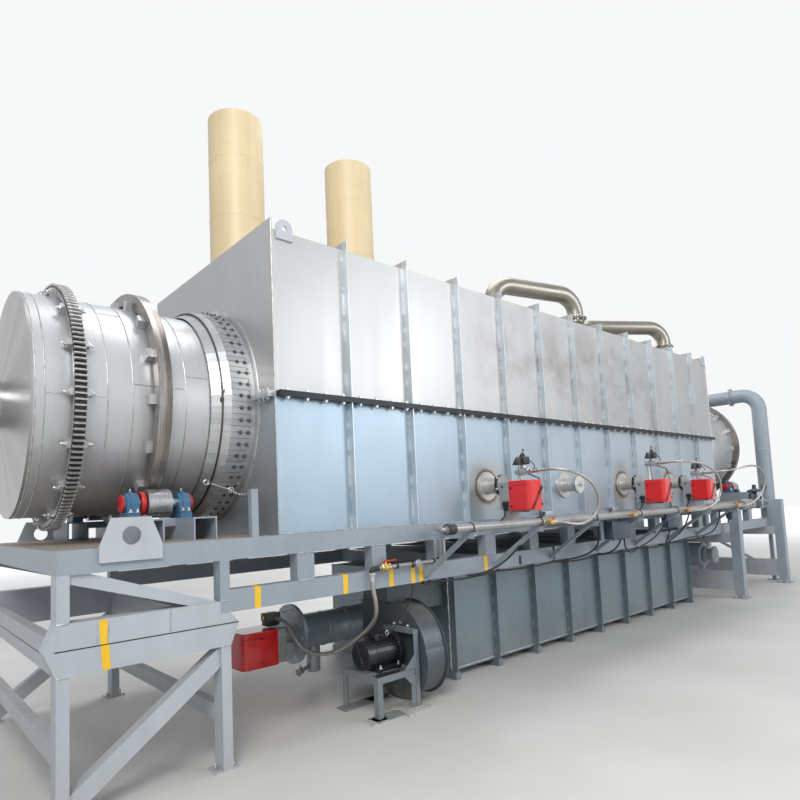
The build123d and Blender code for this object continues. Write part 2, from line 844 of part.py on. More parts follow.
# Lifting plates on the rails at the drum ends, and lifting eyes at the casing corners
lug_z0 = rail_top_z - 84
lug_x = casing_x0 + stand_left_x + 215
with BuildPart() as lifting_plates:
    for x in (lug_x, frame_x1 - 215 - lug_width):
        for side in (-1, 1):
            y = side * (half_width + rail_out) if side > 0 else side * (half_width + rail_out) - lug_sheet
            inset = (lug_width - lug_top_width) / 2
            bar_xz([
                (x, lug_z0), (x + lug_width, lug_z0), (x + lug_width, lug_z0 + lug_height * 0.35),
                (x + lug_width - inset, lug_z0 + lug_height), (x + inset, lug_z0 + lug_height),
                (x, lug_z0 + lug_height * 0.35),
            ], y, lug_sheet)
            with Locations((x + lug_width / 2, y + lug_sheet / 2, lug_z0 + lug_height * 0.58)):
                Cylinder(lug_hole / 2, lug_sheet, rotation=(90, 0, 0), mode=Mode.SUBTRACT)
    for x in (casing_x0 + 110, casing_x1 - 110):
        for side in (-1, 1):
            y = side * half_width if side > 0 else side * half_width - eye_sheet
            z = roof_top_z + 90 - eye_width / 2
            with BuildSketch(Plane(origin=(x, y + eye_sheet, z), x_dir=(1, 0, 0), z_dir=(0, -1, 0))):
                Circle(eye_width / 2)
                with Locations((0, -(eye_height - eye_width / 2) / 2)):
                    Rectangle(eye_width, eye_height - eye_width / 2)
                Circle(eye_hole / 2, mode=Mode.SUBTRACT)
            extrude(amount=eye_sheet)
save(lifting_plates, "lifting_plates")

# Lower box with upright ribs down to the floor and bars under it
box_y = box_width / 2
with BuildPart() as lower_box:
    block(box_x0, box_x1, -box_y, box_y, box_bottom_z, lower_rail_z0)
    for i in range(box_bay_count + 1):
        x = box_x0 + i * box_bay
        x = min(max(x, box_x0 + foot_bar / 2), box_x1 - foot_bar / 2)
        block(x - foot_bar / 2, x + foot_bar / 2, -box_y - rib_out, box_y + rib_out, 0, box_bottom_z)
        block(x - rib_sheet / 2, x + rib_sheet / 2, -box_y - rib_out, box_y + rib_out, box_bottom_z, lower_rail_z0)
save(lower_box, "lower_box")

# Burner ports: flange, tube and clamp ring; the unused port has a knob on its blank end
port_xs = [casing_x0 + bay_length * (port_first_bay + k * port_bay_step) for k in range(port_count)]
port_face = near_y - port_flange_sheet
port_mouth = port_face - port_tube_length


def disc_y(x, y0, z, radius, depth, bore=0):
    """Disc or ring with its axis along Y, from y0 towards the burner side."""
    with BuildSketch(Plane(origin=(x, y0, z), x_dir=(1, 0, 0), z_dir=(0, -1, 0))) as disc:
        Circle(radius)
        if bore:
            Circle(bore, mode=Mode.SUBTRACT)
    extrude(disc.sketch, amount=depth)


def disc_x(x0, y, z, radius, depth, bore=0):
    """Disc or ring with its axis along X, from x0 towards the outlet."""
    with BuildSketch(Plane(origin=(x0, y, z), x_dir=(0, 1, 0), z_dir=(1, 0, 0))) as disc:
        Circle(radius)
        if bore:
            Circle(bore, mode=Mode.SUBTRACT)
    extrude(disc.sketch, amount=depth)


def pipe(corners, radius, bend):
    """Solid round pipe along corners, with one bend radius."""
    with BuildLine() as route:
        FilletPolyline(*corners, radius=bend)
    with BuildSketch(Plane(origin=route.line @ 0, z_dir=route.line % 0)) as end:
        Circle(radius)
    sweep(end.sketch, path=route.line)


with BuildPart() as burner_ports:
    for k, x in enumerate(port_xs):
        disc_y(x, near_y, port_z, port_flange_radius, port_flange_sheet)
        disc_y(x, port_face, port_z, port_tube_radius, port_tube_length)
        disc_y(x, port_mouth, port_z, clamp_radius, clamp_width)
        if k not in lit_ports:
            disc_y(x, port_mouth - clamp_width, port_z, port_knob_radius, clamp_width / 2)
save(burner_ports, "burner_ports")

# Burners: a round flange and a cast body, then a cover with rounded corners on its outer side
body_y1 = port_mouth - clamp_width - burner_flange_sheet
cover_y1 = body_y1 - burner_body
cover_z0 = port_z + burner_lift - burner_height
cover_z1 = cover_z0 + burner_height
body_half = burner_width / 2 - burner_inset
body_mid = (body_y1 + cover_y1) / 2
shelf_top = header_z - header_radius + shelf_sheet
low_cover_x1 = casing_x0 + chamber_start - low_burner_gap
low_body_x1 = low_cover_x1 + low_body
low_cover_z0 = chamber_z - low_cover_drop
low_cover_z1 = low_cover_z0 + low_cover_height
low_half = low_cover_width / 2 - burner_inset
with BuildPart() as burner_bodies:
    for k in lit_ports:
        x = port_xs[k]
        disc_y(x, port_mouth - clamp_width, port_z, burner_flange_radius, burner_flange_sheet)
        block(x - body_half, x + body_half, cover_y1, body_y1,
              cover_z0 + burner_inset, cover_z1 - burner_inset)
        block(x - burner_foot, x + burner_foot, cover_y1 + burner_inset, body_y1 - burner_inset,
              shelf_top, cover_z0 + burner_inset)
    disc_x(low_body_x1, 0, chamber_z, port_tube_radius,
           casing_x0 + chamber_start - chamber_disc_sheet - low_body_x1)
    block(low_cover_x1, low_body_x1, -low_half, low_half,
          low_cover_z0 + burner_inset, low_cover_z1 - burner_inset)
save(burner_bodies, "burner_bodies")


def cover(centre, length, width, z0, z1, plane_turn):
    """Burner cover: rounded upright corners on the outer side, and small rounds along the top."""
    with BuildPart() as box:
        with Locations((0, -length / 2, (z0 + z1) / 2)):
            Box(width, length, z1 - z0)
        fillet(box.edges().filter_by(Axis.Z).group_by(Axis.Y)[0], burner_round)
        fillet(box.faces().sort_by(Axis.Z)[-1].edges(), burner_edge)
    return box.part.moved(Location(centre, (0, 0, plane_turn)))


with BuildPart() as burner_covers:
    for k in lit_ports:
        add(cover((port_xs[k], cover_y1, 0), burner_length, burner_width, cover_z0, cover_z1, 0))
    add(cover((low_cover_x1, 0, 0), low_cover_length, low_cover_width, low_cover_z0, low_cover_z1, -90))
save(burner_covers, "burner_covers")

# Gas valves: a pipe from the burner's side, a valve body with a union, and a coil box with a dome on it
valve_zs = [port_z + rise for rise in valve_rises]
union_y = body_mid + valve_body_radius - valve_body_length - union_length
with BuildPart() as gas_trains:
    for k, z in zip(lit_ports, valve_zs):
        x = port_xs[k] + valve_out
        low = cover_z1 - burner_inset - valve_elbow_drop
        pipe([(port_xs[k] + body_half, body_mid, low), (x, body_mid, low), (x, body_mid, z)],
             valve_pipe_radius, valve_elbow_drop)
        disc_y(x, body_mid + valve_body_radius, z, valve_body_radius, valve_body_length)
        disc_y(x, union_y + union_length, z, union_radius, union_length)
        y = body_mid + valve_body_radius - valve_body_length / 2
        block(x - union_radius, x + union_radius, y - union_radius, y + union_radius,
              z, z + coil_side / 2 + coil_gap)
        z += valve_body_radius + coil_gap
        block(x - coil_side / 2, x + coil_side / 2, y - coil_side / 2, y + coil_side / 2, z, z + coil_height)
        with Locations((x, y, z + coil_height + dome_height / 2)):
            Cone(dome_radius, dome_top_radius, dome_height)
    x = low_body_x1 - low_valve_length / 2
    z = low_cover_z1 + low_valve_rise
    with Locations((low_body_x1 - low_body / 2, 0, (low_cover_z1 - burner_inset + z) / 2)):
        Cylinder(valve_pipe_radius, low_valve_rise + burner_inset)
    block(x - low_valve_length / 2, x + low_valve_length / 2, -low_valve_side / 2, low_valve_side / 2,
          z, z + low_valve_height)
    low_tap = (low_body_x1 - low_body / 2, -low_valve_side / 2 - low_valve_nipple, z + low_valve_height / 2)
    disc_y(low_tap[0], -low_valve_side / 2, low_tap[2], union_radius, low_valve_nipple)
save(gas_trains, "gas_trains")

# Gas header: a cap, a thin line back to the frame with its valve, and a tap for each hose
line_y = near_y + header_y
header_x0 = casing_x0 + header_start
drop_y = rail_y0 - drop_out
tap_y = line_y - tap_out
tap_z = header_z - tap_drop
tap_xs = [port_xs[k] + place for k, place in zip(lit_ports, tap_places)]
with BuildPart() as gas_header:
    disc_x(header_x0, line_y, header_z, header_radius, header_end - header_start)
    disc_x(header_x0, line_y, header_z, header_radius + header_cap, header_cap_length)
    pipe([
        (header_x0, line_y, header_z), (header_x0 - header_cap_length, line_y, header_z),
        (casing_x0 + drop_x, drop_y, header_z), (casing_x0 + drop_x, drop_y, drop_z),
        (casing_x0 + drop_valve_x, drop_y, drop_z),
    ], drop_radius, drop_bend * 0.8)
    valve_x = casing_x0 + drop_valve_x
    disc_x(valve_x - drop_valve_length / 2, drop_y, drop_z, drop_valve_radius, drop_valve_length)
    stem = drop_radius / 2
    block(valve_x - stem, valve_x + stem, drop_y - stem, drop_y + stem, drop_z, drop_z + 2 * drop_valve_radius)
    block(valve_x - drop_radius, valve_x + drop_lever, drop_y - stem, drop_y + stem,
          drop_z + 1.6 * drop_valve_radius, drop_z + 2 * drop_valve_radius)
    pipe([
        (valve_x, drop_y, drop_z), (casing_x0 + drop_end_x, drop_y, drop_z),
        (casing_x0 + drop_end_x, drop_y, drop_end_z),
    ], drop_radius, drop_bend)
    for x in (casing_x0 + drop_x, (valve_x + casing_x0 + drop_x) / 2):
        block(x - drop_radius, x + drop_radius, drop_y, rail_y0, lower_rail_top_z - drop_radius, drop_z)
    for x in tap_xs + [casing_x0 + spare_tap_x]:
        disc_y(x, line_y, tap_z, tap_radius / 2, tap_out)
        disc_x(x - tap_length / 2, tap_y, tap_z, tap_radius, tap_length)
save(gas_header, "gas_header")

# Bracket arms with struts, and the shelf sheet that they carry along the burners
arm_top = header_z - header_radius
arm_xs = [casing_x0 + arm_first_x + k * arm_pitch for k in range(arm_count)]
with BuildPart() as header_arms:
    for x in arm_xs:
        block(x, x + arm_side, line_y - arm_side, rail_y0, arm_top - arm_sheet, arm_top)
        bar_yz([
            (rail_y0, arm_top - arm_sheet), (rail_y0, arm_top - arm_side),
            (line_y - arm_side, arm_top - arm_side), (line_y - arm_side, arm_top - arm_sheet),
        ], x, arm_sheet)
        strut_z = lower_rail_z0 + rail_return
        bar_yz([
            (rail_y0, strut_z), (line_y + arm_side, arm_top - arm_side),
            (line_y + 2 * arm_side, arm_top - arm_side), (rail_y0, strut_z + arm_side),
        ], x, arm_side - 2 * arm_sheet)
    block(arm_xs[1], arm_xs[-1] + arm_side, line_y + header_radius + rail_return, rail_y0, arm_top, shelf_top)
save(header_arms, "header_arms")


def hose(name, points, diameter):
    """Plain tube along a hose's route: straight runs and the largest arcs that they allow."""
    points = [Vector(*point) for point in points]
    runs = [after - before for before, after in zip(points, points[1:])]
    radii = []
    for before, after in zip(runs, runs[1:]):
        half_turn = math.radians(before.get_angle(after)) / 2
        radii.append(0.45 * min(before.length, after.length) / math.tan(half_turn))
    with BuildPart() as tube:
        with BuildLine():
            route = FilletPolyline(*points, radius=radii)
        with BuildSketch(Plane(origin=points[0], z_dir=runs[0])) as end:
            Circle(diameter / 2)
        sweep(end.sketch, path=route)
    share = tube.part.volume / (math.pi * diameter ** 2 / 4 * route.length)
    print(name, "length", round(route.length), "volume share", round(share, 4))
    print("    radii", [round(radius) for radius in radii])
    save(tube, name)


# Hose to each burner, from the union of its gas valve round to its tap on the header
hose_routes = (
    [(150, -650, 125), (212, -765, 108), (330, -838, 60), (465, -868, -20), (570, -860, -125),
     (608, -832, -243), (565, -790, -345), (458, -750, -392), (338, -718, -388), (230, -697, -366),
     (145, -690, -355)],
    [(150, -650, 240), (240, -760, 232), (400, -820, 205), (600, -850, 150), (775, -862, 65),
     (878, -855, -60), (880, -832, -190), (785, -800, -290), (650, -760, -340), (520, -722, -362),
     (415, -697, -360), (340, -690, -355)],
    [(150, -650, 125), (230, -770, 140), (390, -850, 172), (600, -890, 195), (820, -900, 175),
     (1010, -890, 100), (1112, -872, -20), (1110, -845, -150), (1010, -800, -255), (870, -755, -330),
     (745, -715, -360), (650, -690, -355)],
)
for k, valve_z, tap_x, route in zip(lit_ports, valve_zs, tap_xs, hose_routes):
    first = (port_xs[k] + valve_out, union_y, valve_z)
    last = (tap_x + tap_length / 2, tap_y, tap_z)
    middle = [(port_xs[k] + dx, near_y + dy, port_z + dz) for dx, dy, dz in route]
    hose(f"burner_hose_{k + 1}", [first] + middle + [last], burner_hose)

# Hose to the low burner, from the elbow of the thin line round under the rail
hose("chamber_hose", [
    (casing_x0 + drop_end_x, drop_y, drop_end_z),
    (-3790, -1262, 1010), (-3765, -1264, 905), (-3712, -1205, 785), (-3682, -1085, 670), (-3690, -930, 565),
    (-3735, -780, 470), (-3810, -635, 412), (-3880, -500, 415), (-3928, -400, 472), (-3947, -330, 555),
    (-3950, -262, 628), (low_tap[0], -172, low_tap[2]), low_tap,
], chamber_hose)

# Combustion chamber that fires the lower box
chamber_x0 = casing_x0 + chamber_start
with BuildPart() as combustion_chamber:
    disc_x(chamber_x0 - chamber_disc_sheet, 0, chamber_z, chamber_disc_radius, chamber_disc_sheet)
    disc_x(chamber_x0, 0, chamber_z, chamber_disc_radius, chamber_rim, chamber_disc_radius - chamber_rim)
    disc_x(chamber_x0, 0, chamber_z, chamber_radius, box_x0 - chamber_x0)
    disc_x(chamber_x0 + chamber_joint_x, 0, chamber_z, chamber_radius + chamber_joint, chamber_joint_width)
    with Locations((casing_x0 + chamber_stub_x, 0, chamber_z - chamber_stub_drop / 2)):
        Cylinder(chamber_stub_radius, chamber_stub_drop)
save(combustion_chamber, "combustion_chamber")

# Fan: spiral housing between two side plates, with an outlet elbow into the lower box
fan_x0 = casing_x0 + fan_x
fan_x1 = fan_x0 + fan_width
fan_cy = near_y + fan_y
fan_outlet_y0 = fan_cy + fan_far - fan_outlet_width
fan_outlet_y1 = fan_cy + fan_far


def scroll(x0, depth, rim=0):
    """Spiral outline of the fan, extruded along X; rim widens it all round."""
    with BuildSketch(Plane(origin=(x0, fan_cy, fan_z), x_dir=(0, 1, 0), z_dir=(1, 0, 0))) as outline:
        with BuildLine():
            ThreePointArc((-fan_near, 0), (-fan_near * 0.82, -fan_bottom * 0.72), (0, -fan_bottom))
            ThreePointArc((0, -fan_bottom), (fan_far * 0.75, -fan_bottom * 0.66), (fan_far, 0))
            Polyline((fan_far, 0), (fan_far, fan_outlet_z - fan_z),
                     (fan_far - fan_outlet_width, fan_outlet_z - fan_z))
            ThreePointArc((fan_far - fan_outlet_width, fan_outlet_z - fan_z),
                          (-fan_near * 0.45, fan_near * 0.95), (-fan_near, 0))
        make_face()
        if rim:
            offset(amount=rim)
    extrude(outline.sketch, amount=depth)


with BuildPart() as fan_housing:
    scroll(fan_x0, fan_width)
    scroll(fan_x0, fan_rim_sheet, fan_rim)
    scroll(fan_x1 - fan_rim_sheet, fan_rim_sheet, fan_rim)
    disc_x(fan_x1, fan_cy, fan_z, fan_inlet_radius, fan_inlet_length, fan_inlet_bore)
    elbow_top = lower_rail_z0 - fan_elbow_gap
    block(fan_x0 - fan_elbow_gap, fan_x1 + fan_elbow_gap,
          fan_outlet_y0 - fan_elbow_gap, fan_outlet_y1 + fan_elbow_gap, fan_outlet_z, fan_outlet_z + foot_sheet)
    block(fan_x0, fan_x1, fan_outlet_y0, fan_outlet_y1, fan_outlet_z + foot_sheet, elbow_top)
    block(fan_x1, box_x0, fan_outlet_y0, fan_outlet_y1, fan_outlet_z - fan_elbow_drop, elbow_top)
save(fan_housing, "fan_housing")

# Fan motor: a finned barrel between two end shields, a cowl, feet and a terminal box
motor_x1 = fan_x0 - motor_shaft
motor_x0 = motor_x1 - motor_length
motor_base = fan_z - motor_radius - motor_foot
barrel_x0 = motor_x0 + motor_cowl
barrel_length = motor_length - motor_cowl - motor_bell
with BuildPart() as fan_motor:
    disc_x(motor_x0, fan_cy, fan_z, motor_radius, motor_cowl)
    disc_x(barrel_x0, fan_cy, fan_z, motor_core, barrel_length)
    disc_x(motor_x1 - motor_bell, fan_cy, fan_z, motor_radius, motor_bell)
    with BuildSketch(Plane(origin=(barrel_x0, fan_cy, fan_z), x_dir=(0, 1, 0), z_dir=(1, 0, 0))) as fins:
        with PolarLocations((motor_core + motor_radius) / 2 - 1, motor_fin_count):
            Rectangle(motor_radius - motor_core, motor_fin)
    extrude(fins.sketch, amount=barrel_length)
    disc_x(motor_x1, fan_cy, fan_z, motor_shaft_radius, motor_shaft)
    block(barrel_x0, barrel_x0 + barrel_length, fan_cy - motor_radius, fan_cy + motor_radius,
          motor_base, motor_base + 2 * motor_foot)
    block(motor_x0 + 1.5 * motor_cowl, motor_x0 + 1.5 * motor_cowl + motor_box_side,
          fan_cy - motor_box_side / 2, fan_cy + motor_box_side / 2,
          fan_z + motor_core - motor_foot, fan_z + motor_radius + motor_box_rise)
save(fan_motor, "fan_motor")

# Motor stand of angle bars: four legs, a frame round the top and two sole bars
stand_x0 = motor_x0 - fan_elbow_gap
stand_y0 = fan_cy - fan_stand_width / 2
stand_y1 = fan_cy + fan_stand_width / 2


def angle_leg(x, y, x_way, y_way):
    """Upright angle bar whose corner stands at x, y."""
    block(x, x + x_way * fan_stand_leg, y, y + y_way * fan_stand_sheet, foot_sheet, motor_base)
    block(x, x + x_way * fan_stand_sheet, y, y + y_way * fan_stand_leg, foot_sheet, motor_base)


with BuildPart() as fan_stand:
    for x, x_way in ((stand_x0, 1), (motor_x1, -1)):
        for y, y_way in ((stand_y0, 1), (stand_y1, -1)):
            angle_leg(x, y, x_way, y_way)
        block(x, x + x_way * fan_stand_sheet, stand_y0, stand_y1, motor_base - fan_stand_leg, motor_base)
    for y, y_way in ((stand_y0, 1), (stand_y1, -1)):
        block(stand_x0, motor_x1, y, y + y_way * fan_stand_sheet, motor_base - fan_stand_leg, motor_base)
        block(stand_x0 - foot_rim, motor_x1 + foot_rim,
              y - y_way * foot_rim, y + y_way * (fan_stand_leg + foot_rim), 0, foot_sheet)
    for way in (-1, 1):
        y = fan_cy + way * (motor_radius - fan_stand_leg / 2)
        block(stand_x0, motor_x1, y - fan_stand_leg / 2, y + fan_stand_leg / 2,
              motor_base - fan_stand_sheet, motor_base)
save(fan_stand, "fan_stand")

# Outlet hood round the drum's outlet neck
with BuildPart() as outlet_hood:
    disc_x(hood_x0, 0, drum_z, hood_radius, hood_sheet, neck_radius + neck_flange + move_gap)
    disc_x(hood_x0 + hood_sheet, 0, drum_z, hood_radius, hood_length, hood_radius - hood_sheet)
    disc_x(hood_x0 + hood_sheet + hood_length, 0, drum_z, hood_radius, hood_sheet)
save(outlet_hood, "outlet_hood")


def foot_post(x, y, half, side, top):
    """Square post on a foot plate."""
    block(x - half, x + half, y - half, y + half, 0, top)
    block(x - side / 2, x + side / 2, y - side / 2, y + side / 2, 0, foot_sheet)


# Posts under the hood and the gas off-take, and the round housing on the first portal's beam
housing_x = portal_xs[0] + portal_width / 2
housing_y1 = housing_y + housing_length / 2
beam_top = portal_beam_z + 2 * portal_beam_height
with BuildPart() as outlet_posts:
    foot_post(hood_mid, 0, post_half, post_foot, drum_z - hood_radius - seat)
    foot_post(hood_mid, near_y, leg_width / 2, leg_foot, take_off_end_z - base_flange_sheet)
    with Locations((hood_mid, near_y, take_off_end_z - base_flange_sheet / 2)):
        Cylinder(take_off_radius + take_off_flange, base_flange_sheet)
    disc_y(housing_x, housing_y1, housing_z, housing_radius, housing_length)
    disc_y(housing_x, housing_y1 - housing_length, housing_z, housing_neck_radius, housing_neck_length)
    disc_y(housing_x, housing_y1 - housing_length - housing_neck_length, housing_z,
           housing_flange_radius, housing_flange_sheet)
    disc_y(housing_x, housing_y1 - housing_length - housing_flange_sheet, housing_z,
           housing_flange_radius, housing_flange_sheet)
    with BuildSketch(Plane((housing_x, housing_y1 - housing_length + housing_foot_radius, beam_top))) as foot:
        Circle(housing_foot_radius)
    extrude(foot.sketch, amount=housing_z - beam_top)
save(outlet_posts, "outlet_posts")

# Gas off-take pipe, with a bolted flange pair in its level run
with BuildPart() as gas_take_off:
    start = drum_z + hood_radius + seat
    with BuildLine():
        FilletPolyline((hood_mid, 0, start), (hood_mid, 0, take_off_z), (hood_mid, near_y, take_off_z),
                       (hood_mid, near_y, take_off_end_z), radius=take_off_bend)
    with BuildSketch(Plane((hood_mid, 0, start))):
        Circle(take_off_radius)
        Circle(take_off_radius - duct_sheet, mode=Mode.SUBTRACT)
    sweep()
    disc_y(hood_mid, take_off_joint_y + base_flange_sheet, take_off_z, take_off_radius + take_off_flange,
           2 * base_flange_sheet, take_off_radius - duct_sheet)
save(gas_take_off, "gas_take_off")

# Post for the chain of the inlet seal
post_x = casing_x0 - 215
with BuildPart() as chain_post:
    block(post_x - chain_post_side / 2, post_x + chain_post_side / 2, rail_y0, rail_y0 + chain_post_side,
          rail_top_z, rail_top_z + chain_post_height)
save(chain_post, "chain_post")

print(len(labelled), "pieces")
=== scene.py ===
"""Finish, fittings and stage for a continuous carbonization furnace, laid out as an add-on."""
import json
import math

import bpy
import numpy as np
from mathutils import Matrix, Vector


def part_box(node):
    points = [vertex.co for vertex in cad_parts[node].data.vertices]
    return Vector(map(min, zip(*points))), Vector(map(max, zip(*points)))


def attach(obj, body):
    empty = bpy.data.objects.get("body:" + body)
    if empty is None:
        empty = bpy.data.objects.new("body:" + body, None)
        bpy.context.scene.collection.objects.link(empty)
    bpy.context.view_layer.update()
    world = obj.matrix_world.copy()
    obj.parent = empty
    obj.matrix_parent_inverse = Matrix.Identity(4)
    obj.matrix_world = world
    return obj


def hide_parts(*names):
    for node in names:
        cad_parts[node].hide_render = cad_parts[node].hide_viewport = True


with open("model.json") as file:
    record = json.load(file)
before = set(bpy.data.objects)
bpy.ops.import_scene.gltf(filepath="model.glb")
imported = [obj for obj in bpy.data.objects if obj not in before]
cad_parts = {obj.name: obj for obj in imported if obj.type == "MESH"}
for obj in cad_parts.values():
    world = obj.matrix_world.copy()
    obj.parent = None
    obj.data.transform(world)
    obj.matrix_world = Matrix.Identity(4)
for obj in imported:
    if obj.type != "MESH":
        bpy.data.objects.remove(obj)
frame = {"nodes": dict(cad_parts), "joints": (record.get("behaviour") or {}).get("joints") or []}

bl_info = {
    "name": "Carbonization furnace",
    "version": (1, 0, 0),
    "blender": (4, 5, 0),
    "location": "View3D > Sidebar > Furnace",
    "description": "Dresses a rotary carbonization furnace with its fittings, finishes and stage",
    "category": "Object",
}

# Directions of the plant: along X to either end, across Y to either side, and up
OUTLET, INLET, FAR, NEAR, UP, DOWN = (1, 0, 0), (-1, 0, 0), (0, 1, 0), (0, -1, 0), (0, 0, 1), (0, 0, -1)

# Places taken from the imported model, in metres
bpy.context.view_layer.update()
casing_floor_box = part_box("casing_floor")
casing_inlet_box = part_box("casing_inlet_lower")
casing_x0 = casing_floor_box[0].x - 0.010
casing_x1 = casing_floor_box[1].x + 0.010
bay_count = 12
bay = (casing_x1 - casing_x0) / bay_count
near_y = casing_inlet_box[0].y
far_y = casing_inlet_box[1].y
rail_top = casing_floor_box[0].z
split_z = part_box("casing_near_upper")[0].z
rib_out = near_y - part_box("casing_near_upper")[0].y
roof_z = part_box("casing_near_upper")[1].z - rib_out
joint_places = {j["name"]: Vector(j["pos_m"]) for j in frame["joints"]}
drum_z = joint_places["drum_turn"].z
drum_x0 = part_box("drum_shell")[0].x
drum_x1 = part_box("drum_shell")[1].x
drum_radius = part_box("drum_shell")[1].y
rollers = [name for name in frame["nodes"] if name.startswith("roller_") and f"{name}_turn" in joint_places]
ring_xs = {end: sum((v.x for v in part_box(f"riding_ring_{end}")), 0) / 2 for end in ("inlet", "outlet")}
port_pitch = 2 * bay
port_xs = [casing_x0 + 3.5 * bay + k * port_pitch for k in range(4)]
port_z = (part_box("burner_ports")[0].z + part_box("burner_ports")[1].z) / 2
port_flange_y = near_y - 0.020
rail_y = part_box("frame_side_near")[0].y
lower_rail = (0.991, 1.136)
lit_ports = (0, 2, 3)
cover_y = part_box("burner_covers")[0].y
cover_top = port_z + 0.032
body_y = cover_y + 0.295
port_mouth = cover_y + 0.411
header_y, header_z, header_radius = near_y - 0.600, 1.440, 0.035
header_x1 = casing_x0 + 7.200
tap_xs = [port_xs[k] + place for k, place in zip(lit_ports, (0.030, 0.236, 0.518))]
tap_y = header_y - 0.090
valve_zs = [port_z + rise for rise in (0.125, 0.240, 0.125)]
arm_xs = [casing_x0 + 1.350 + 0.920 * k for k in range(7)]
chamber_z = 0.500
chamber_x0 = casing_x0 + 0.780
fan_y, fan_z = near_y + 0.120, 0.450
fan_x0 = casing_x0 + 1.220

# Angle in degrees past which an edge is drawn sharp, and the circles that the seal stands on
sharp_angle = 38
wall_opening = 0.876
collar_radius = 0.8805
leaf_count = 60
cladding_radius = 0.250

# Middles of the outlet portals' legs, and the tape marks on the lower rail
portal_xs, portal_y = (3.355, 5.425), 1.412
tape_xs = (-4.756, -4.018, -3.559, -3.318, -3.227, -2.381)

# Routes of the hanging hoses, with diameter and length
hose_routes = {
    "burner_hose_1": (0.026, 1.463, (
        (-2.085, -1.682, 1.915), (-2.085, -1.812, 1.915), (-2.023, -1.927, 1.898), (-1.905, -2.000, 1.850),
        (-1.770, -2.030, 1.770), (-1.665, -2.022, 1.665), (-1.627, -1.994, 1.547), (-1.670, -1.952, 1.445),
        (-1.777, -1.912, 1.398), (-1.897, -1.880, 1.402), (-2.005, -1.859, 1.424), (-2.090, -1.852, 1.435),
        (-2.170, -1.852, 1.435))),
    "burner_hose_3": (0.026, 1.794, (
        (0.555, -1.682, 2.030), (0.555, -1.812, 2.030), (0.645, -1.922, 2.022), (0.805, -1.982, 1.995),
        (1.005, -2.012, 1.940), (1.180, -2.024, 1.855), (1.283, -2.017, 1.730), (1.285, -1.994, 1.600),
        (1.190, -1.962, 1.500), (1.055, -1.922, 1.450), (0.925, -1.884, 1.428), (0.820, -1.859, 1.430),
        (0.745, -1.852, 1.435), (0.676, -1.852, 1.435))),
    "burner_hose_4": (0.026, 2.003, (
        (1.875, -1.682, 1.915), (1.875, -1.812, 1.915), (1.955, -1.932, 1.930), (2.115, -2.012, 1.962),
        (2.325, -2.052, 1.985), (2.545, -2.062, 1.965), (2.735, -2.052, 1.890), (2.837, -2.034, 1.770),
        (2.835, -2.007, 1.640), (2.735, -1.962, 1.535), (2.595, -1.917, 1.460), (2.470, -1.877, 1.430),
        (2.375, -1.852, 1.435), (2.278, -1.852, 1.435))),
    "chamber_hose": (0.034, 1.726, (
        (-3.790, -1.262, 1.105), (-3.790, -1.262, 1.010), (-3.765, -1.264, 0.905), (-3.712, -1.205, 0.785),
        (-3.682, -1.085, 0.670), (-3.690, -0.930, 0.565), (-3.735, -0.780, 0.470), (-3.810, -0.635, 0.412),
        (-3.880, -0.500, 0.415), (-3.928, -0.400, 0.472), (-3.947, -0.330, 0.555), (-3.950, -0.262, 0.628),
        (-3.950, -0.172, 0.670), (-3.950, -0.075, 0.670))),
}

# Cable loops between the lower rail, the junction boxes and the header, each cut round by eased()
cable_runs = (
    ((-2.232, -1.640, 1.402), (-2.226, -1.580, 1.310), (-2.270, -1.500, 1.185), (-2.345, -1.420, 1.085),
     (-2.440, -1.330, 1.012), (-2.560, -1.262, 0.984), (-2.660, -1.232, 0.981)),
    ((-1.097, -1.640, 1.402), (-0.975, -1.600, 1.250), (-0.896, -1.520, 1.110), (-0.930, -1.425, 1.035),
     (-1.040, -1.320, 0.994), (-1.160, -1.250, 0.983), (-1.250, -1.232, 0.981)),
    ((-0.660, -1.670, 1.196), (-0.610, -1.620, 1.130), (-0.520, -1.500, 1.045), (-0.470, -1.380, 1.000),
     (-0.440, -1.280, 0.983), (-0.375, -1.232, 0.981)),
    ((-0.597, -1.670, 1.196), (-0.600, -1.672, 1.080), (-0.500, -1.680, 1.010), (-0.330, -1.690, 1.062),
     (-0.060, -1.690, 1.110), (0.190, -1.690, 1.190), (0.360, -1.680, 1.290), (0.500, -1.640, 1.402)),
    ((0.610, -1.640, 1.240), (0.600, -1.600, 1.120), (0.700, -1.520, 1.035), (0.890, -1.440, 1.020),
     (1.080, -1.440, 1.060), (1.170, -1.560, 1.180), (1.190, -1.640, 1.402)),
    ((1.087, -1.232, 0.981), (1.200, -1.260, 0.975), (1.390, -1.360, 1.010), (1.620, -1.440, 1.050),
     (1.840, -1.520, 1.050), (2.020, -1.580, 1.090), (2.140, -1.620, 1.210), (2.190, -1.640, 1.402)),
)


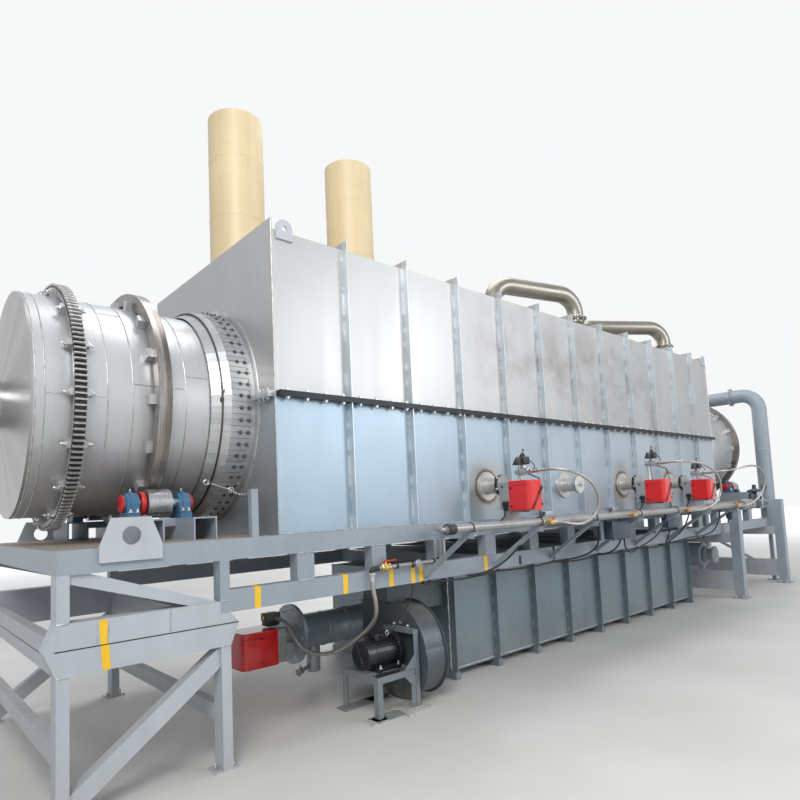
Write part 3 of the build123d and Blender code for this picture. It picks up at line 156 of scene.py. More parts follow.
class FurnaceSizes(bpy.types.PropertyGroup):
    """Sizes of the fittings that are added to the furnace."""

    bolt_pitch: bpy.props.FloatProperty(name="Flange bolt pitch",
        description="Distance between the casing's flange bolts", default=0.165, unit="LENGTH")
    bolt_size: bpy.props.FloatProperty(name="Flange bolt size",
        description="Width across the flats of a flange bolt", default=0.024, unit="LENGTH")
    seal_bolt: bpy.props.FloatProperty(name="Seal bolt size",
        description="Width across the flats of a seal bolt", default=0.017, unit="LENGTH")
    stitch_length: bpy.props.FloatProperty(name="Stitch weld length",
        description="Length of each short weld along a rib", default=0.055, unit="LENGTH")
    stitch_pitch: bpy.props.FloatProperty(name="Stitch weld pitch",
        description="Distance between short welds along a rib", default=0.17, unit="LENGTH")
    bead_radius: bpy.props.FloatProperty(name="Weld bead", description="Radius of a weld bead",
        default=0.004, unit="LENGTH")
    tape_width: bpy.props.FloatProperty(name="Tape width", description="Width of the yellow tape marks",
        default=0.045, unit="LENGTH")


class FurnaceColours(bpy.types.PropertyGroup):
    """Paint colours of the furnace."""

    casing: bpy.props.FloatVectorProperty(name="Casing sheet", description="Aluminium paint on the casing",
        subtype="COLOR", default=(0.50, 0.52, 0.54))
    drum: bpy.props.FloatVectorProperty(name="Drum", description="Aluminium paint on the drum",
        subtype="COLOR", default=(0.52, 0.53, 0.545))
    rails: bpy.props.FloatVectorProperty(name="Frame", description="Grey paint on the frame",
        subtype="COLOR", default=(0.29, 0.335, 0.385))
    lower_box: bpy.props.FloatVectorProperty(name="Lower box", description="Grey paint on the lower box",
        subtype="COLOR", default=(0.20, 0.255, 0.29))
    cladding: bpy.props.FloatVectorProperty(name="Chimney cladding", description="Cream cladding",
        subtype="COLOR", default=(0.70, 0.57, 0.35))
    enamel: bpy.props.FloatVectorProperty(name="Burner enamel", description="Red burner covers",
        subtype="COLOR", default=(0.72, 0.012, 0.014))
    bearing: bpy.props.FloatVectorProperty(name="Bearing paint", description="Blue bearing housings",
        subtype="COLOR", default=(0.050, 0.155, 0.275))
    tape: bpy.props.FloatVectorProperty(name="Tape", description="Yellow tape marks", subtype="COLOR",
        default=(0.85, 0.52, 0.02))


# Surfaces worked out as arrays. A shape is a pair: points, and faces of four point numbers.

def grid(points, around=False, along=False):
    """Faces over a grid of points: each face joins four neighbours, and a closed way joins last to first."""
    rows, columns = points.shape[:2]
    i, j = np.meshgrid(np.arange(rows - (not along)), np.arange(columns - (not around)), indexing="ij")
    i2, j2 = (i + 1) % rows, (j + 1) % columns
    faces = np.stack([i * columns + j, i2 * columns + j, i2 * columns + j2, i * columns + j2], -1)
    return points.reshape(-1, 3), faces.reshape(-1, 4)


def merged(shapes):
    """One shape from several: the points follow each other and the face numbers are moved up to match."""
    starts = np.cumsum([0] + [len(points) for points, faces in shapes[:-1]])
    return (np.concatenate([points for points, faces in shapes]),
            np.concatenate([faces + start for start, (points, faces) in zip(starts, shapes)]))


def welded(shape):
    """Points that lie together become one, and a closed shape's signed volume turns its faces outwards."""
    points, faces = shape
    kept, index = np.unique(np.round(points, 6), axis=0, return_inverse=True)
    faces = index.reshape(-1)[faces]
    a, b, c, d = (kept[faces[:, k]] for k in range(4))
    volume = (np.cross(a, b) * c).sum() + (np.cross(a, c) * d).sum()
    return kept, faces if volume >= 0 else faces[:, ::-1]


def full_turn(count):
    """Evenly spaced angles of one whole turn, without the last that would repeat the first."""
    return np.linspace(0, 2 * np.pi, count, endpoint=False)


def turned(profile, sides=24):
    """Solid of revolution about Z: each (radius, height) of the profile is carried round a circle.
    A profile that starts and ends on the axis closes at its poles, and any other is joined end to start."""
    profile = np.asarray(profile, float)
    turn = full_turn(sides)
    points = np.stack([profile[:, None, 0] * np.cos(turn), profile[:, None, 0] * np.sin(turn),
                       np.repeat(profile[:, 1:2], sides, 1)], -1)
    return welded(grid(points, around=True, along=profile[0, 0] > 0))


def circle(radius, sides=12):
    """Points of a circle, one turn of cosine and sine."""
    turn = full_turn(sides)
    return np.stack([radius * np.cos(turn), radius * np.sin(turn)], -1)


def ring_path(centre, axis, radius, count):
    """Points of a ring about a world axis: cosine on the first of the other two, sine on the second."""
    first, second = [k for k in range(3) if k != axis]
    points = np.tile(np.asarray(centre, float), (count, 1))
    points[:, first] += radius * np.cos(full_turn(count))
    points[:, second] += radius * np.sin(full_turn(count))
    return points


def swept(path, section, up=UP, closed=False):
    """A section carried along a path: its first axis is square to the path and to up, its second to both.
    An open sweep is closed by rows of points at the middle of each end."""
    path, section = np.asarray(path, float), np.asarray(section, float)
    if closed:
        way = np.roll(path, -1, 0) - np.roll(path, 1, 0)
    else:
        way = np.gradient(path, axis=0)
    way /= np.linalg.norm(way, axis=1, keepdims=True)
    side = np.cross(way, np.broadcast_to(np.asarray(up, float), way.shape))
    side /= np.linalg.norm(side, axis=1, keepdims=True)
    top = np.cross(side, way)
    sections = section if section.ndim == 3 else np.broadcast_to(section, (len(path),) + section.shape)
    points = (path[:, None] + side[:, None] * sections[..., :1] + top[:, None] * sections[..., 1:2])
    if not closed:
        ends = [np.repeat(points[k:k + 1].mean(1, keepdims=True), points.shape[1], 1)
                for k in (0, len(path) - 1)]
        points = np.concatenate([ends[0], points, ends[1]])
    return welded(grid(points, around=True, along=closed))


def rounded_path(corners, radius, steps=6):
    """A path of straight runs whose corners are turned by arcs, each tangent to both of its runs."""
    corners = [Vector(c) for c in corners]
    points = [corners[0]]
    for before, corner, after in zip(corners, corners[1:], corners[2:]):
        back, on = (before - corner).normalized(), (after - corner).normalized()
        half = back.angle(on) / 2
        reach = radius / math.tan(half)
        middle = corner + (back + on).normalized() * radius / math.sin(half)
        start, end = corner + back * reach - middle, corner + on * reach - middle
        points += [middle + radius * start.slerp(end, k / steps) for k in range(steps + 1)]
    return np.array([tuple(p) for p in points + [corners[-1]]])


def slab(low, high, round_by=0.003, steps=1):
    """A block with rounded edges: a globe's grid of directions, each eighth moved out to its corner."""
    low, high = np.minimum(low, high), np.maximum(low, high)
    centre, half = (low + high) / 2, (high - low) / 2
    radius = min(round_by, half.min() * 0.999)
    quarter = np.linspace(0, np.pi / 2, steps + 1)
    lon = np.concatenate([quarter + k * np.pi / 2 for k in range(4)])
    lat = np.concatenate([quarter - np.pi / 2, quarter])
    sign_x = np.repeat([1, -1, -1, 1], steps + 1)
    sign_y = np.repeat([1, 1, -1, -1], steps + 1)
    sign_z = np.repeat([-1, 1], steps + 1)
    points = np.stack([(half[0] - radius) * sign_x + radius * np.cos(lat)[:, None] * np.cos(lon),
                       (half[1] - radius) * sign_y + radius * np.cos(lat)[:, None] * np.sin(lon),
                       np.broadcast_to(((half[2] - radius) * sign_z + radius * np.sin(lat))[:, None],
                           (len(lat), len(lon)))], -1)
    poles = [np.broadcast_to([0, 0, z], (1, len(lon), 3)) for z in (-half[2], half[2])]
    points = np.concatenate([poles[0], points, poles[1]]) + centre
    return welded(grid(points, around=True))


def prism(outline, depth, round_by=0.0):
    """An outline in X and Y raised along Z, its edges cut back a little and its ends closed to the middle."""
    outline = np.asarray(outline, float)
    middle = outline.mean(0)
    reach = np.linalg.norm(outline - middle, axis=1, keepdims=True)
    inner = middle + (outline - middle) * (1 - round_by / reach)
    rows = [(middle + outline * 0, 0), (inner, 0), (outline, round_by), (outline, depth - round_by),
            (inner, depth), (middle + outline * 0, depth)]
    points = np.stack([np.concatenate([xy, np.full((len(xy), 1), z)], 1) for xy, z in rows])
    return welded(grid(points, around=True))


def placed(shape, places):
    """Copies of a shape, one for each 4 by 4 placing matrix."""
    points, faces = shape
    places = np.asarray(places, float).reshape(-1, 4, 4)
    moved = np.einsum("kij,nj->kni", places[:, :3, :3], points) + places[:, None, :3, 3]
    starts = np.arange(len(places))[:, None, None] * len(points)
    return moved.reshape(-1, 3), (faces[None] + starts).reshape(-1, 4)


def stand_on(centres, out, along=OUTLET):
    """Placing matrices that stand a shape's Z along out at each centre, its X as near along as it can be.
    Where out lies along it, the world's Y takes its place."""
    centres = np.atleast_2d(np.asarray(centres, float))
    z = np.broadcast_to(np.asarray(out, float), centres.shape)
    z = z / np.linalg.norm(z, axis=1, keepdims=True)
    along = np.broadcast_to(np.asarray(along, float), centres.shape)
    same = np.linalg.norm(np.cross(z, along), axis=1, keepdims=True) < 0.02
    y = np.cross(z, np.where(same, (0.0, 1.0, 0.0), along))
    y = y / np.linalg.norm(y, axis=1, keepdims=True)
    x = np.cross(y, z)
    places = np.zeros((len(centres), 4, 4))
    places[:, :3, 0], places[:, :3, 1], places[:, :3, 2], places[:, :3, 3] = x, y, z, centres
    places[:, 3, 3] = 1
    return places


def ring_places(centre, axis, radius, count, start=0.0, flat=True):
    """Places round a circle about an axis. Flat ones stand along the axis, others stand outwards."""
    axis = Vector(axis).normalized()
    side = axis.orthogonal().normalized()
    up = axis.cross(side)
    turn = start + full_turn(count)
    out = np.cos(turn)[:, None] * np.array(side) + np.sin(turn)[:, None] * np.array(up)
    centres = np.array(centre) + radius * out
    return stand_on(centres, np.array(axis) if flat else out, out if flat else np.array(axis))


def drum_point(x, degrees, radius):
    """Points at an angle above the level line on the near side of the drum."""
    turn = np.radians(degrees)
    return points_at(x, -radius * np.cos(turn), drum_z + radius * np.sin(turn))


def bolt(size, stem=0.0):
    """A bolt head on its washer, standing on Z: a six-sided turned profile over a round one."""
    head = turned([(0, 0.1 * size), (size * 0.577, 0.1 * size), (size * 0.577, 0.6 * size),
                   (size * 0.46, 0.7 * size), (0, 0.7 * size)], 6)
    washer = turned([(0, 0), (size, 0), (size, 0.12 * size), (0, 0.12 * size)], 12)
    parts = [head, washer]
    if stem:
        parts.append(turned([(0, 0.5 * size), (size * 0.3, 0.5 * size), (size * 0.3, 0.6 * size + stem),
                             (size * 0.22, 0.7 * size + stem), (0, 0.7 * size + stem)], 8))
    return merged(parts)


def bead(path, radius, up=UP, closed=False):
    """A weld bead: a circle carried along its line, swelling with each ripple and tapering at open ends."""
    path = np.asarray(path, float)
    count = len(path)
    swell = 1 + 0.16 * np.sin(np.arange(count) * 2.1)
    if not closed:
        swell *= np.sqrt(np.clip(np.minimum(np.arange(count), np.arange(count)[::-1]) / 1.5, 0.25, 1))
    return swept(path, circle(radius, 6)[None] * swell[:, None, None], up, closed)


def ring_bead(centre, axis, radius, count, size):
    """A weld bead that runs once round a ring about one of the world's axes."""
    return bead(ring_path(centre, axis, radius, count), size, up=np.eye(3)[axis], closed=True)


def points_at(x, y, z):
    """Points from three numbers or arrays, each repeated to the longest."""
    return np.stack(np.broadcast_arrays(x, y, z), -1)


def line(start, end, count):
    """Evenly spaced points from start to end."""
    share = np.linspace(0, 1, count)[:, None]
    return np.asarray(start, float) * (1 - share) + np.asarray(end, float) * share


def stood(shape, centres, out, along=OUTLET):
    """Copies of a shape that stand along out, one at each centre."""
    return placed(shape, stand_on(centres, out, along))


def rod(radius, top, sides, foot=0.0):
    """A plain round bar on Z: a straight profile turned about the axis, closed at both ends."""
    return turned([(0, foot), (radius, foot), (radius, top), (0, top)], sides)


def make_piece(name, shapes, finish, body="plant", replaces=()):
    """Put shapes into one mesh object with its finish, on its body.
    Corners that repeat in a face are dropped, so poles become triangles."""
    points, faces = merged(shapes)
    keep = faces != np.roll(faces, -1, 1)
    keep &= (keep.sum(1) >= 3)[:, None]
    sizes = keep.sum(1)
    sizes = sizes[sizes > 0]
    corners = faces[keep]
    mesh = bpy.data.meshes.new(name)
    mesh.vertices.add(len(points))
    mesh.vertices.foreach_set("co", points.astype(np.float32).ravel())
    mesh.loops.add(len(corners))
    mesh.loops.foreach_set("vertex_index", corners.astype(np.int32))
    mesh.polygons.add(len(sizes))
    mesh.polygons.foreach_set("loop_start", np.concatenate([[0], np.cumsum(sizes)[:-1]]).astype(np.int32))
    mesh.polygons.foreach_set("use_smooth", np.ones(len(sizes), bool))
    mesh.update(calc_edges=True)
    mesh.validate()
    mesh.set_sharp_from_angle(angle=math.radians(sharp_angle))
    mesh.materials.append(finish_named(finish))
    piece = bpy.data.objects.new(name, mesh)
    bpy.context.scene.collection.objects.link(piece)
    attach(piece, body)
    if replaces:
        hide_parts(*replaces)
    return piece


# Materials. Shared effects are node groups, and each material places them with its own values.

class Graph:
    """Short calls that add shader nodes to one tree. A value is a number, a colour or a node's socket."""

    def __init__(self, tree):
        self.tree = tree

    def add(self, kind, values=(), output=0, **settings):
        """Add a node, set its options and fill its inputs by name or number."""
        made = self.tree.nodes.new(kind)
        for option, value in settings.items():
            setattr(made, option, value)
        for key, value in dict(values).items():
            if isinstance(value, bpy.types.NodeSocket):
                self.tree.links.new(value, made.inputs[key])
            else:
                made.inputs[key].default_value = value
        return made.outputs[output]

    def math(self, operation, *values, clamp=False):
        return self.add("ShaderNodeMath", dict(enumerate(values)), operation=operation, use_clamp=clamp)

    def times(self, a, b, clamp=False):
        return self.math("MULTIPLY", a, b, clamp=clamp)

    def plus(self, a, b, clamp=False):
        return self.math("ADD", a, b, clamp=clamp)

    def minus(self, a, b, clamp=False):
        return self.math("SUBTRACT", a, b, clamp=clamp)

    def length(self, a, b):
        """Distance from nought of two numbers: the root of the sum of their squares."""
        return self.math("SQRT", self.plus(self.times(a, a), self.times(b, b)))

    def grey(self, level):
        return self.add("ShaderNodeCombineColor", {0: level, 1: level, 2: level})

    def seen_directly(self):
        """The Light Path node's camera ray, and one wherever a camera, glossy or transmission ray looks."""
        path = self.tree.nodes.new("ShaderNodeLightPath").outputs
        others = self.math("MAXIMUM", path["Is Glossy Ray"], path["Is Transmission Ray"])
        return path["Is Camera Ray"], self.math("MAXIMUM", path["Is Camera Ray"], others)

    def vector(self, operation, *values, output=0):
        return self.add("ShaderNodeVectorMath", dict(enumerate(values)), output, operation=operation)

    def split(self, vector):
        """The three numbers of a vector."""
        made = self.add("ShaderNodeSeparateXYZ", {0: vector}).node
        return made.outputs[0], made.outputs[1], made.outputs[2]

    def mix(self, share, a, b, blend="MIX"):
        return self.add("ShaderNodeMix", {0: share, 6: a, 7: b}, 2, data_type="RGBA", blend_type=blend)

    def noise(self, vector, scale, detail=3.0, rough=0.5):
        return self.add("ShaderNodeTexNoise",
                        {"Vector": vector, "Scale": scale, "Detail": detail, "Roughness": rough})

    def remap(self, value, low, high, to_low=0.0, to_high=1.0):
        return self.add("ShaderNodeMapRange", {0: value, 1: low, 2: high, 3: to_low, 4: to_high})

    def near(self, value, centre, reach, fade):
        """One within reach of a centre, falling to nothing over the fade."""
        away = self.math("ABSOLUTE", self.minus(value, centre))
        return self.remap(away, reach, reach + fade, 1.0, 0.0)

    def place(self):
        return self.add("ShaderNodeTexCoord", output=3)

    def scaled(self, vector, scale):
        return self.vector("MULTIPLY", vector, scale)


def effect_group(name, inputs, outputs, build):
    """A node group with named sockets. Build gets its graph and inputs, and returns outputs by name."""
    if name in bpy.data.node_groups:
        return bpy.data.node_groups[name]
    tree = bpy.data.node_groups.new(name, "ShaderNodeTree")
    for socket, (kind, value) in inputs.items():
        made = tree.interface.new_socket(socket, in_out="INPUT", socket_type=kind)
        made.default_value = value
    for socket, kind in outputs.items():
        tree.interface.new_socket(socket, in_out="OUTPUT", socket_type=kind)
    graph = Graph(tree)
    entry = tree.nodes.new("NodeGroupInput")
    leave = tree.nodes.new("NodeGroupOutput")
    results = build(graph, {socket: entry.outputs[socket] for socket in inputs})
    for socket, result in results.items():
        tree.links.new(result, leave.inputs[socket])
    return tree


COLOUR, NUMBER, VECTOR = "NodeSocketColor", "NodeSocketFloat", "NodeSocketVector"


def tone_drift():
    """Broad patches and upright streaks that lighten and darken a sheet's paint."""
    def build(g, given):
        place = g.place()
        patches = g.noise(place, given["Size"], 4.0, 0.55)
        streaks = g.noise(g.scaled(place, (9.0, 9.0, 0.5)), given["Size"], 3.0, 0.5)
        both = g.plus(g.times(patches, 0.65), g.times(streaks, 0.35))
        shade = g.remap(both, 0.3, 0.7, -1.0, 1.0)
        level = g.plus(g.times(shade, given["Amount"]), 1.0)
        grey = g.grey(level)
        return {"Color": g.mix(1.0, given["Color"], grey, "MULTIPLY"), "Mask": both}
    return effect_group("tone_drift", {"Color": (COLOUR, (0.5, 0.5, 0.5, 1)), "Amount": (NUMBER, 0.1),
        "Size": (NUMBER, 1.0)}, {"Color": COLOUR, "Mask": NUMBER}, build)


def fine_grain():
    """A fine grain, drawn out by the stretch, and a slow waviness, as one height."""
    def build(g, given):
        place = g.place()
        grain = g.noise(g.vector("MULTIPLY", place, given["Stretch"]), given["Scale"], 3.0, 0.6)
        wave = g.noise(place, given["Wave scale"], 1.0, 0.4)
        height = g.plus(grain, g.times(wave, given["Wave"]))
        return {"Height": height, "Grain": grain}
    return effect_group("fine_grain", {"Stretch": (VECTOR, (1, 1, 1)), "Scale": (NUMBER, 200.0),
        "Wave": (NUMBER, 0.0), "Wave scale": (NUMBER, 2.0)}, {"Height": NUMBER, "Grain": NUMBER}, build)


def settled_dust():
    """Dust that lies on faces turned upwards and thickens towards the floor."""
    def build(g, given):
        place = g.place()
        up = g.split(g.add("ShaderNodeNewGeometry", output=1))[2]
        height = g.split(place)[2]
        lying = g.remap(up, 0.55, 0.95)
        low = g.remap(height, given["Low"], 0.0)
        cloud = g.remap(g.noise(place, 6.0, 5.0, 0.65), 0.35, 0.7)
        share = g.times(g.math("MAXIMUM", lying, g.times(low, 0.7)), cloud)
        mask = g.times(share, given["Amount"], clamp=True)
        return {"Color": g.mix(mask, given["Color"], given["Dust"]), "Mask": mask}
    return effect_group("settled_dust", {"Color": (COLOUR, (0.5, 0.5, 0.5, 1)),
        "Dust": (COLOUR, (0.4, 0.36, 0.3, 1)), "Amount": (NUMBER, 0.5), "Low": (NUMBER, 0.4)},
                        {"Color": COLOUR, "Mask": NUMBER}, build)


def scuffs():
    """Small worn spots and drawn-out scratches where another colour shows."""
    def build(g, given):
        place = g.place()
        spots = g.remap(g.noise(place, given["Scale"], 6.0, 0.7), 0.62, 0.68)
        turned_place = g.add("ShaderNodeMapping",
                             {"Vector": place, "Rotation": (0.3, 0.5, 0.2), "Scale": (1, 14, 14)})
        lines = g.remap(g.noise(turned_place, given["Scale"], 3.0, 0.5), 0.66, 0.70)
        where = g.remap(g.noise(place, g.times(given["Scale"], 0.12), 2.0), 0.45, 0.65)
        mask = g.times(g.times(g.math("MAXIMUM", spots, lines), where), given["Amount"], clamp=True)
        return {"Color": g.mix(mask, given["Color"], given["Bare"]), "Mask": mask}
    return effect_group("scuffs", {"Color": (COLOUR, (0.5, 0.5, 0.5, 1)),
        "Bare": (COLOUR, (0.6, 0.6, 0.6, 1)), "Amount": (NUMBER, 0.5), "Scale": (NUMBER, 20.0)},
                        {"Color": COLOUR, "Mask": NUMBER}, build)


def round_drum():
    """Angle round the drum's axis and distance from it, for patterns that follow the rings."""
    def build(g, given):
        x, y, z = g.split(g.place())
        rise = g.minus(z, drum_z)
        angle = g.math("ARCTAN2", rise, y)
        out = g.length(y, rise)
        wrapped = g.add("ShaderNodeCombineXYZ", {0: g.times(x, given["Across"]),
            1: g.times(g.math("COSINE", angle), given["Around"]),
            2: g.times(g.math("SINE", angle), given["Around"])})
        return {"Angle": angle, "Radius": out, "Place": wrapped}
    return effect_group("round_drum", {"Across": (NUMBER, 1.0), "Around": (NUMBER, 1.0)},
                        {"Angle": NUMBER, "Radius": NUMBER, "Place": VECTOR}, build)


class Finish:
    """One material under construction: its graph and its Principled shader."""

    def __init__(self, name, metallic=0.0, roughness=0.5, **fixed):
        self.material = bpy.data.materials.new(name)
        self.material.use_nodes = True
        self.graph = Graph(self.material.node_tree)
        self.shader = self.material.node_tree.nodes["Principled BSDF"]
        self.shader.inputs["Metallic"].default_value = metallic
        self.shader.inputs["Roughness"].default_value = roughness
        for socket, value in fixed.items():
            self.shader.inputs[socket.replace("_", " ")].default_value = value

    def effect(self, group, output="Color", **values):
        """Place a shared effect with this material's values."""
        node = self.graph.tree.nodes.new("ShaderNodeGroup")
        node.node_tree = group
        for key, value in values.items():
            socket = node.inputs[key.replace("_", " ")]
            if isinstance(value, bpy.types.NodeSocket):
                self.graph.tree.links.new(value, socket)
            else:
                socket.default_value = value
        return node.outputs if output is None else node.outputs[output]

    def colour(self, value):
        self.graph.tree.links.new(value, self.shader.inputs["Base Color"])
        return self

    def rough(self, value):
        self.graph.tree.links.new(value, self.shader.inputs["Roughness"])
        return self

    def height(self, value, strength, distance=0.001):
        normal = self.graph.add("ShaderNodeBump",
                                {"Height": value, "Strength": strength, "Distance": distance})
        self.graph.tree.links.new(normal, self.shader.inputs["Normal"])
        return self


def rgba(colour):
    return tuple(colour)[:3] + (1.0,)


def painted(name, colour, tone=0.08, size=1.2, metallic=0.0, roughness=0.45, dust=0.35, dust_low=0.5,
            wear=0.25, bare=(0.5, 0.5, 0.5), grain=160.0, wave=0.6, bump=0.12, **fixed):
    """Paint on steel: tone drift, scuffs, settled dust, and the grain and waviness of the sheet below."""
    finish = Finish(name, metallic, roughness, **fixed)
    drift = finish.effect(tone_drift(), None, Color=rgba(colour), Amount=tone, Size=size)
    worn = finish.effect(scuffs(), None, Color=drift["Color"], Bare=rgba(bare), Amount=wear, Scale=24.0)
    dusty = finish.effect(settled_dust(), None, Color=worn["Color"], Amount=dust, Low=dust_low)
    grained = finish.effect(fine_grain(), None, Scale=grain, Wave=wave, Wave_scale=2.5)
    g = finish.graph
    finish.colour(dusty["Color"])
    level = g.remap(drift["Mask"], 0.3, 0.7, roughness - 0.07, roughness + 0.07)
    finish.rough(g.plus(level, g.times(dusty["Mask"], 0.3), clamp=True))
    return finish.height(grained["Height"], bump).material


def casing_sheet(colour):
    """Aluminium paint on the casing: bays that differ, pale bands beside the ribs painted as their
    reflection, rib faces painted lighter as painted light, heat rings and grey smudges.
    """
    finish = Finish("casing_sheet", metallic=0.55, roughness=0.4)
    g = finish.graph
    place = g.place()
    x, y, z = g.split(place)
    bay_number = g.math("FLOOR", g.math("DIVIDE", g.minus(x, casing_x0), bay))
    upper = g.math("GREATER_THAN", z, split_z)
    tone = g.add("ShaderNodeTexWhiteNoise",
                 {"Vector": g.add("ShaderNodeCombineXYZ", {0: bay_number, 1: upper})})
    level = g.remap(tone, 0.0, 1.0, 0.94, 1.05)
    plain = g.mix(1.0, rgba(colour), g.grey(level), "MULTIPLY")
    fade = g.remap(x, casing_x0 + bay, casing_x0 + 9 * bay)
    long_walls = g.math("GREATER_THAN", g.math("ABSOLUTE", y), abs(near_y) - 0.002)
    cool = g.mix(long_walls, (0.80, 0.83, 0.86, 1), g.mix(fade, (0.68, 0.83, 0.95, 1), (0.88, 0.94, 1.0, 1)))
    tint = g.mix(upper, cool, (0.95, 0.915, 0.885, 1))
    tinted = g.mix(1.0, plain, tint, "MULTIPLY")
    drift = finish.effect(tone_drift(), None, Color=tinted, Amount=0.1, Size=0.9)

    # Grey and brownish smudges where the wall runs hottest
    cloud = g.remap(g.noise(place, 1.7, 5.0, 0.6), 0.45, 0.68)
    along = g.near(x, casing_x0 + 6.2 * bay, 1.9 * bay, 1.6 * bay)
    high = g.near(z, split_z + 0.62, 0.25, 0.4)
    outer = g.near(y, near_y, 0.05, 0.02)
    smudge = g.times(g.times(cloud, along), g.times(high, outer))
    stained = g.mix(g.times(smudge, 0.7), drift["Color"], (0.23, 0.20, 0.205, 1))

    # Heat rings round the burner ports, and a warm stain under each
    rail = g.minus(g.math("WRAP", g.minus(x, port_xs[0] - port_pitch / 2), port_pitch, 0.0), port_pitch / 2)
    drop = g.minus(z, port_z)
    away = g.length(rail, drop)
    wobble = g.plus(away, g.times(g.minus(g.noise(place, 14.0), 0.5), 0.03))
    ported = g.near(x, (port_xs[0] + port_xs[3]) / 2, 1.5 * port_pitch + 0.4, 0.02)
    lit = g.minus(ported, g.near(x, port_xs[1], 0.45, 0.02), clamp=True)
    shown = g.times(lit, outer)
    brown = g.times(g.near(wobble, 0.155, 0.008, 0.02), shown)
    warm = g.times(g.remap(wobble, 0.17, 0.36, 0.5, 0.0), shown)
    heated = g.mix(g.times(warm, 0.8), stained, (0.42, 0.33, 0.21, 1))
    ringed = g.mix(g.times(brown, 0.75), heated, (0.13, 0.065, 0.025, 1))

    # Pale bands beside each rib, a painted reflection of the rib in the glossy sheet; then the ribs' faces,
    # painted lighter as painted light where they fall in shade
    rib = g.math("ABSOLUTE", g.minus(g.math("WRAP", g.minus(x, casing_x0 + bay / 2), bay, 0.0), bay / 2))
    # Painted reflection: a pale streaky band on the sheet on each side of every rib
    pale = g.times(g.remap(rib, 0.012, 0.035, 1.0, 0.0),
                   g.remap(g.noise(g.scaled(place, (1, 1, 4)), 2.0), 0.45, 0.55))
    between_ends = g.near(x, (casing_x0 + casing_x1) / 2, (casing_x1 - casing_x0) / 2 - 0.030, 0.01)
    pale = g.times(pale, g.times(long_walls, between_ends))
    painted_rib_light = g.mix(g.times(pale, 0.6), ringed, (0.80, 0.84, 0.87, 1))
    # Painted light: faces standing out from the wall, the ribs' shaded side faces among them, are mixed
    # towards a lighter blue-grey
    raised = g.remap(y, near_y - 0.004, near_y - 0.010)
    painted_rib_light = g.mix(g.times(raised, 0.8), painted_rib_light, (0.56, 0.63, 0.68, 1))
    flange = g.times(g.near(z, split_z, 0.023, 0.001),
                     g.math("GREATER_THAN", g.math("ABSOLUTE", y), abs(near_y) + 0.001))
    edged = g.mix(flange, painted_rib_light, (0.016, 0.022, 0.028, 1))
    finish.colour(finish.effect(settled_dust(), Color=edged, Amount=0.35, Low=0.1))
    finish.rough(g.remap(drift["Mask"], 0.3, 0.7, 0.33, 0.5))
    grained = finish.effect(fine_grain(), None, Stretch=(1, 1, 0.25), Scale=90.0, Wave=3.0, Wave_scale=1.6)
    return finish.height(grained["Height"], 0.10, 0.002).material


def drum_steel(colour):
    """Aluminium paint on the rolled drum: courses that differ, scuffs drawn round it, and grey marks."""
    finish = Finish("drum_steel", metallic=0.55, roughness=0.38)
    g = finish.graph
    wrapped = finish.effect(round_drum(), None, Across=9.0, Around=0.8)
    drift = finish.effect(tone_drift(), None, Color=rgba(colour), Amount=0.07, Size=1.3)
    rub = g.remap(g.noise(wrapped["Place"], 5.0, 5.0, 0.62), 0.5, 0.72)
    rubbed = g.mix(g.times(rub, 0.22), drift["Color"], (0.33, 0.34, 0.355, 1))
    worn = finish.effect(scuffs(), None, Color=rubbed, Bare=(0.74, 0.74, 0.74, 1), Amount=0.35, Scale=14.0)
    finish.colour(worn["Color"])
    finish.rough(g.remap(rub, 0.0, 1.0, 0.34, 0.5))
    grained = finish.effect(fine_grain(), None, Stretch=(1, 1, 1), Scale=140.0, Wave=2.0, Wave_scale=2.2)
    return finish.height(grained["Height"], 0.09, 0.002).material


def turned_steel(name, light, dark, across=60.0, film=0.6, roughness=0.34):
    """Machined steel: fine lines round the axis and an oily film that gathers in patches."""
    finish = Finish(name, metallic=0.9, roughness=roughness)
    g = finish.graph
    lines = finish.effect(round_drum(), None, Across=across, Around=1.2)
    band = g.noise(lines["Place"], 4.0, 4.0, 0.7)
    oil = g.remap(g.noise(lines["Place"], 0.55, 5.0, 0.6), 0.38, 0.66)
    base = g.mix(g.remap(band, 0.3, 0.7), rgba(dark), rgba(light))
    finish.colour(g.mix(g.times(oil, film), base, (0.085, 0.06, 0.042, 1)))
    finish.rough(g.remap(band, 0.3, 0.7, roughness - 0.1, roughness + 0.12))
    return finish.height(band, 0.08, 0.001).material


def gear_steel():
    """Cut teeth: bright tips, roots darkened by grease and by painted shade between the teeth, and a brown
    film, told apart by the distance from the axis.
    """
    finish = Finish("gear_steel", metallic=0.75, roughness=0.42)
    g = finish.graph
    around = finish.effect(round_drum(), None, Across=12.0, Around=4.0)
    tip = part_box("girth_gear")[1].y
    deep = g.remap(around["Radius"], tip - 0.006, tip - 0.022)
    cloud = g.noise(around["Place"], 3.0, 5.0, 0.65)
    base = g.mix(g.remap(cloud, 0.35, 0.65), (0.56, 0.565, 0.565, 1), (0.37, 0.36, 0.345, 1))
    # Roots between the teeth darkened nearly to black: grease together with painted shade in the gaps
    grease = g.times(deep, g.near(around["Radius"], tip - 0.02, 0.008, 0.004))
    finish.colour(g.mix(g.times(grease, 0.92), base, (0.020, 0.018, 0.017, 1)))
    finish.rough(g.remap(cloud, 0.3, 0.7, 0.3, 0.55))
    return finish.height(cloud, 0.15, 0.001).material


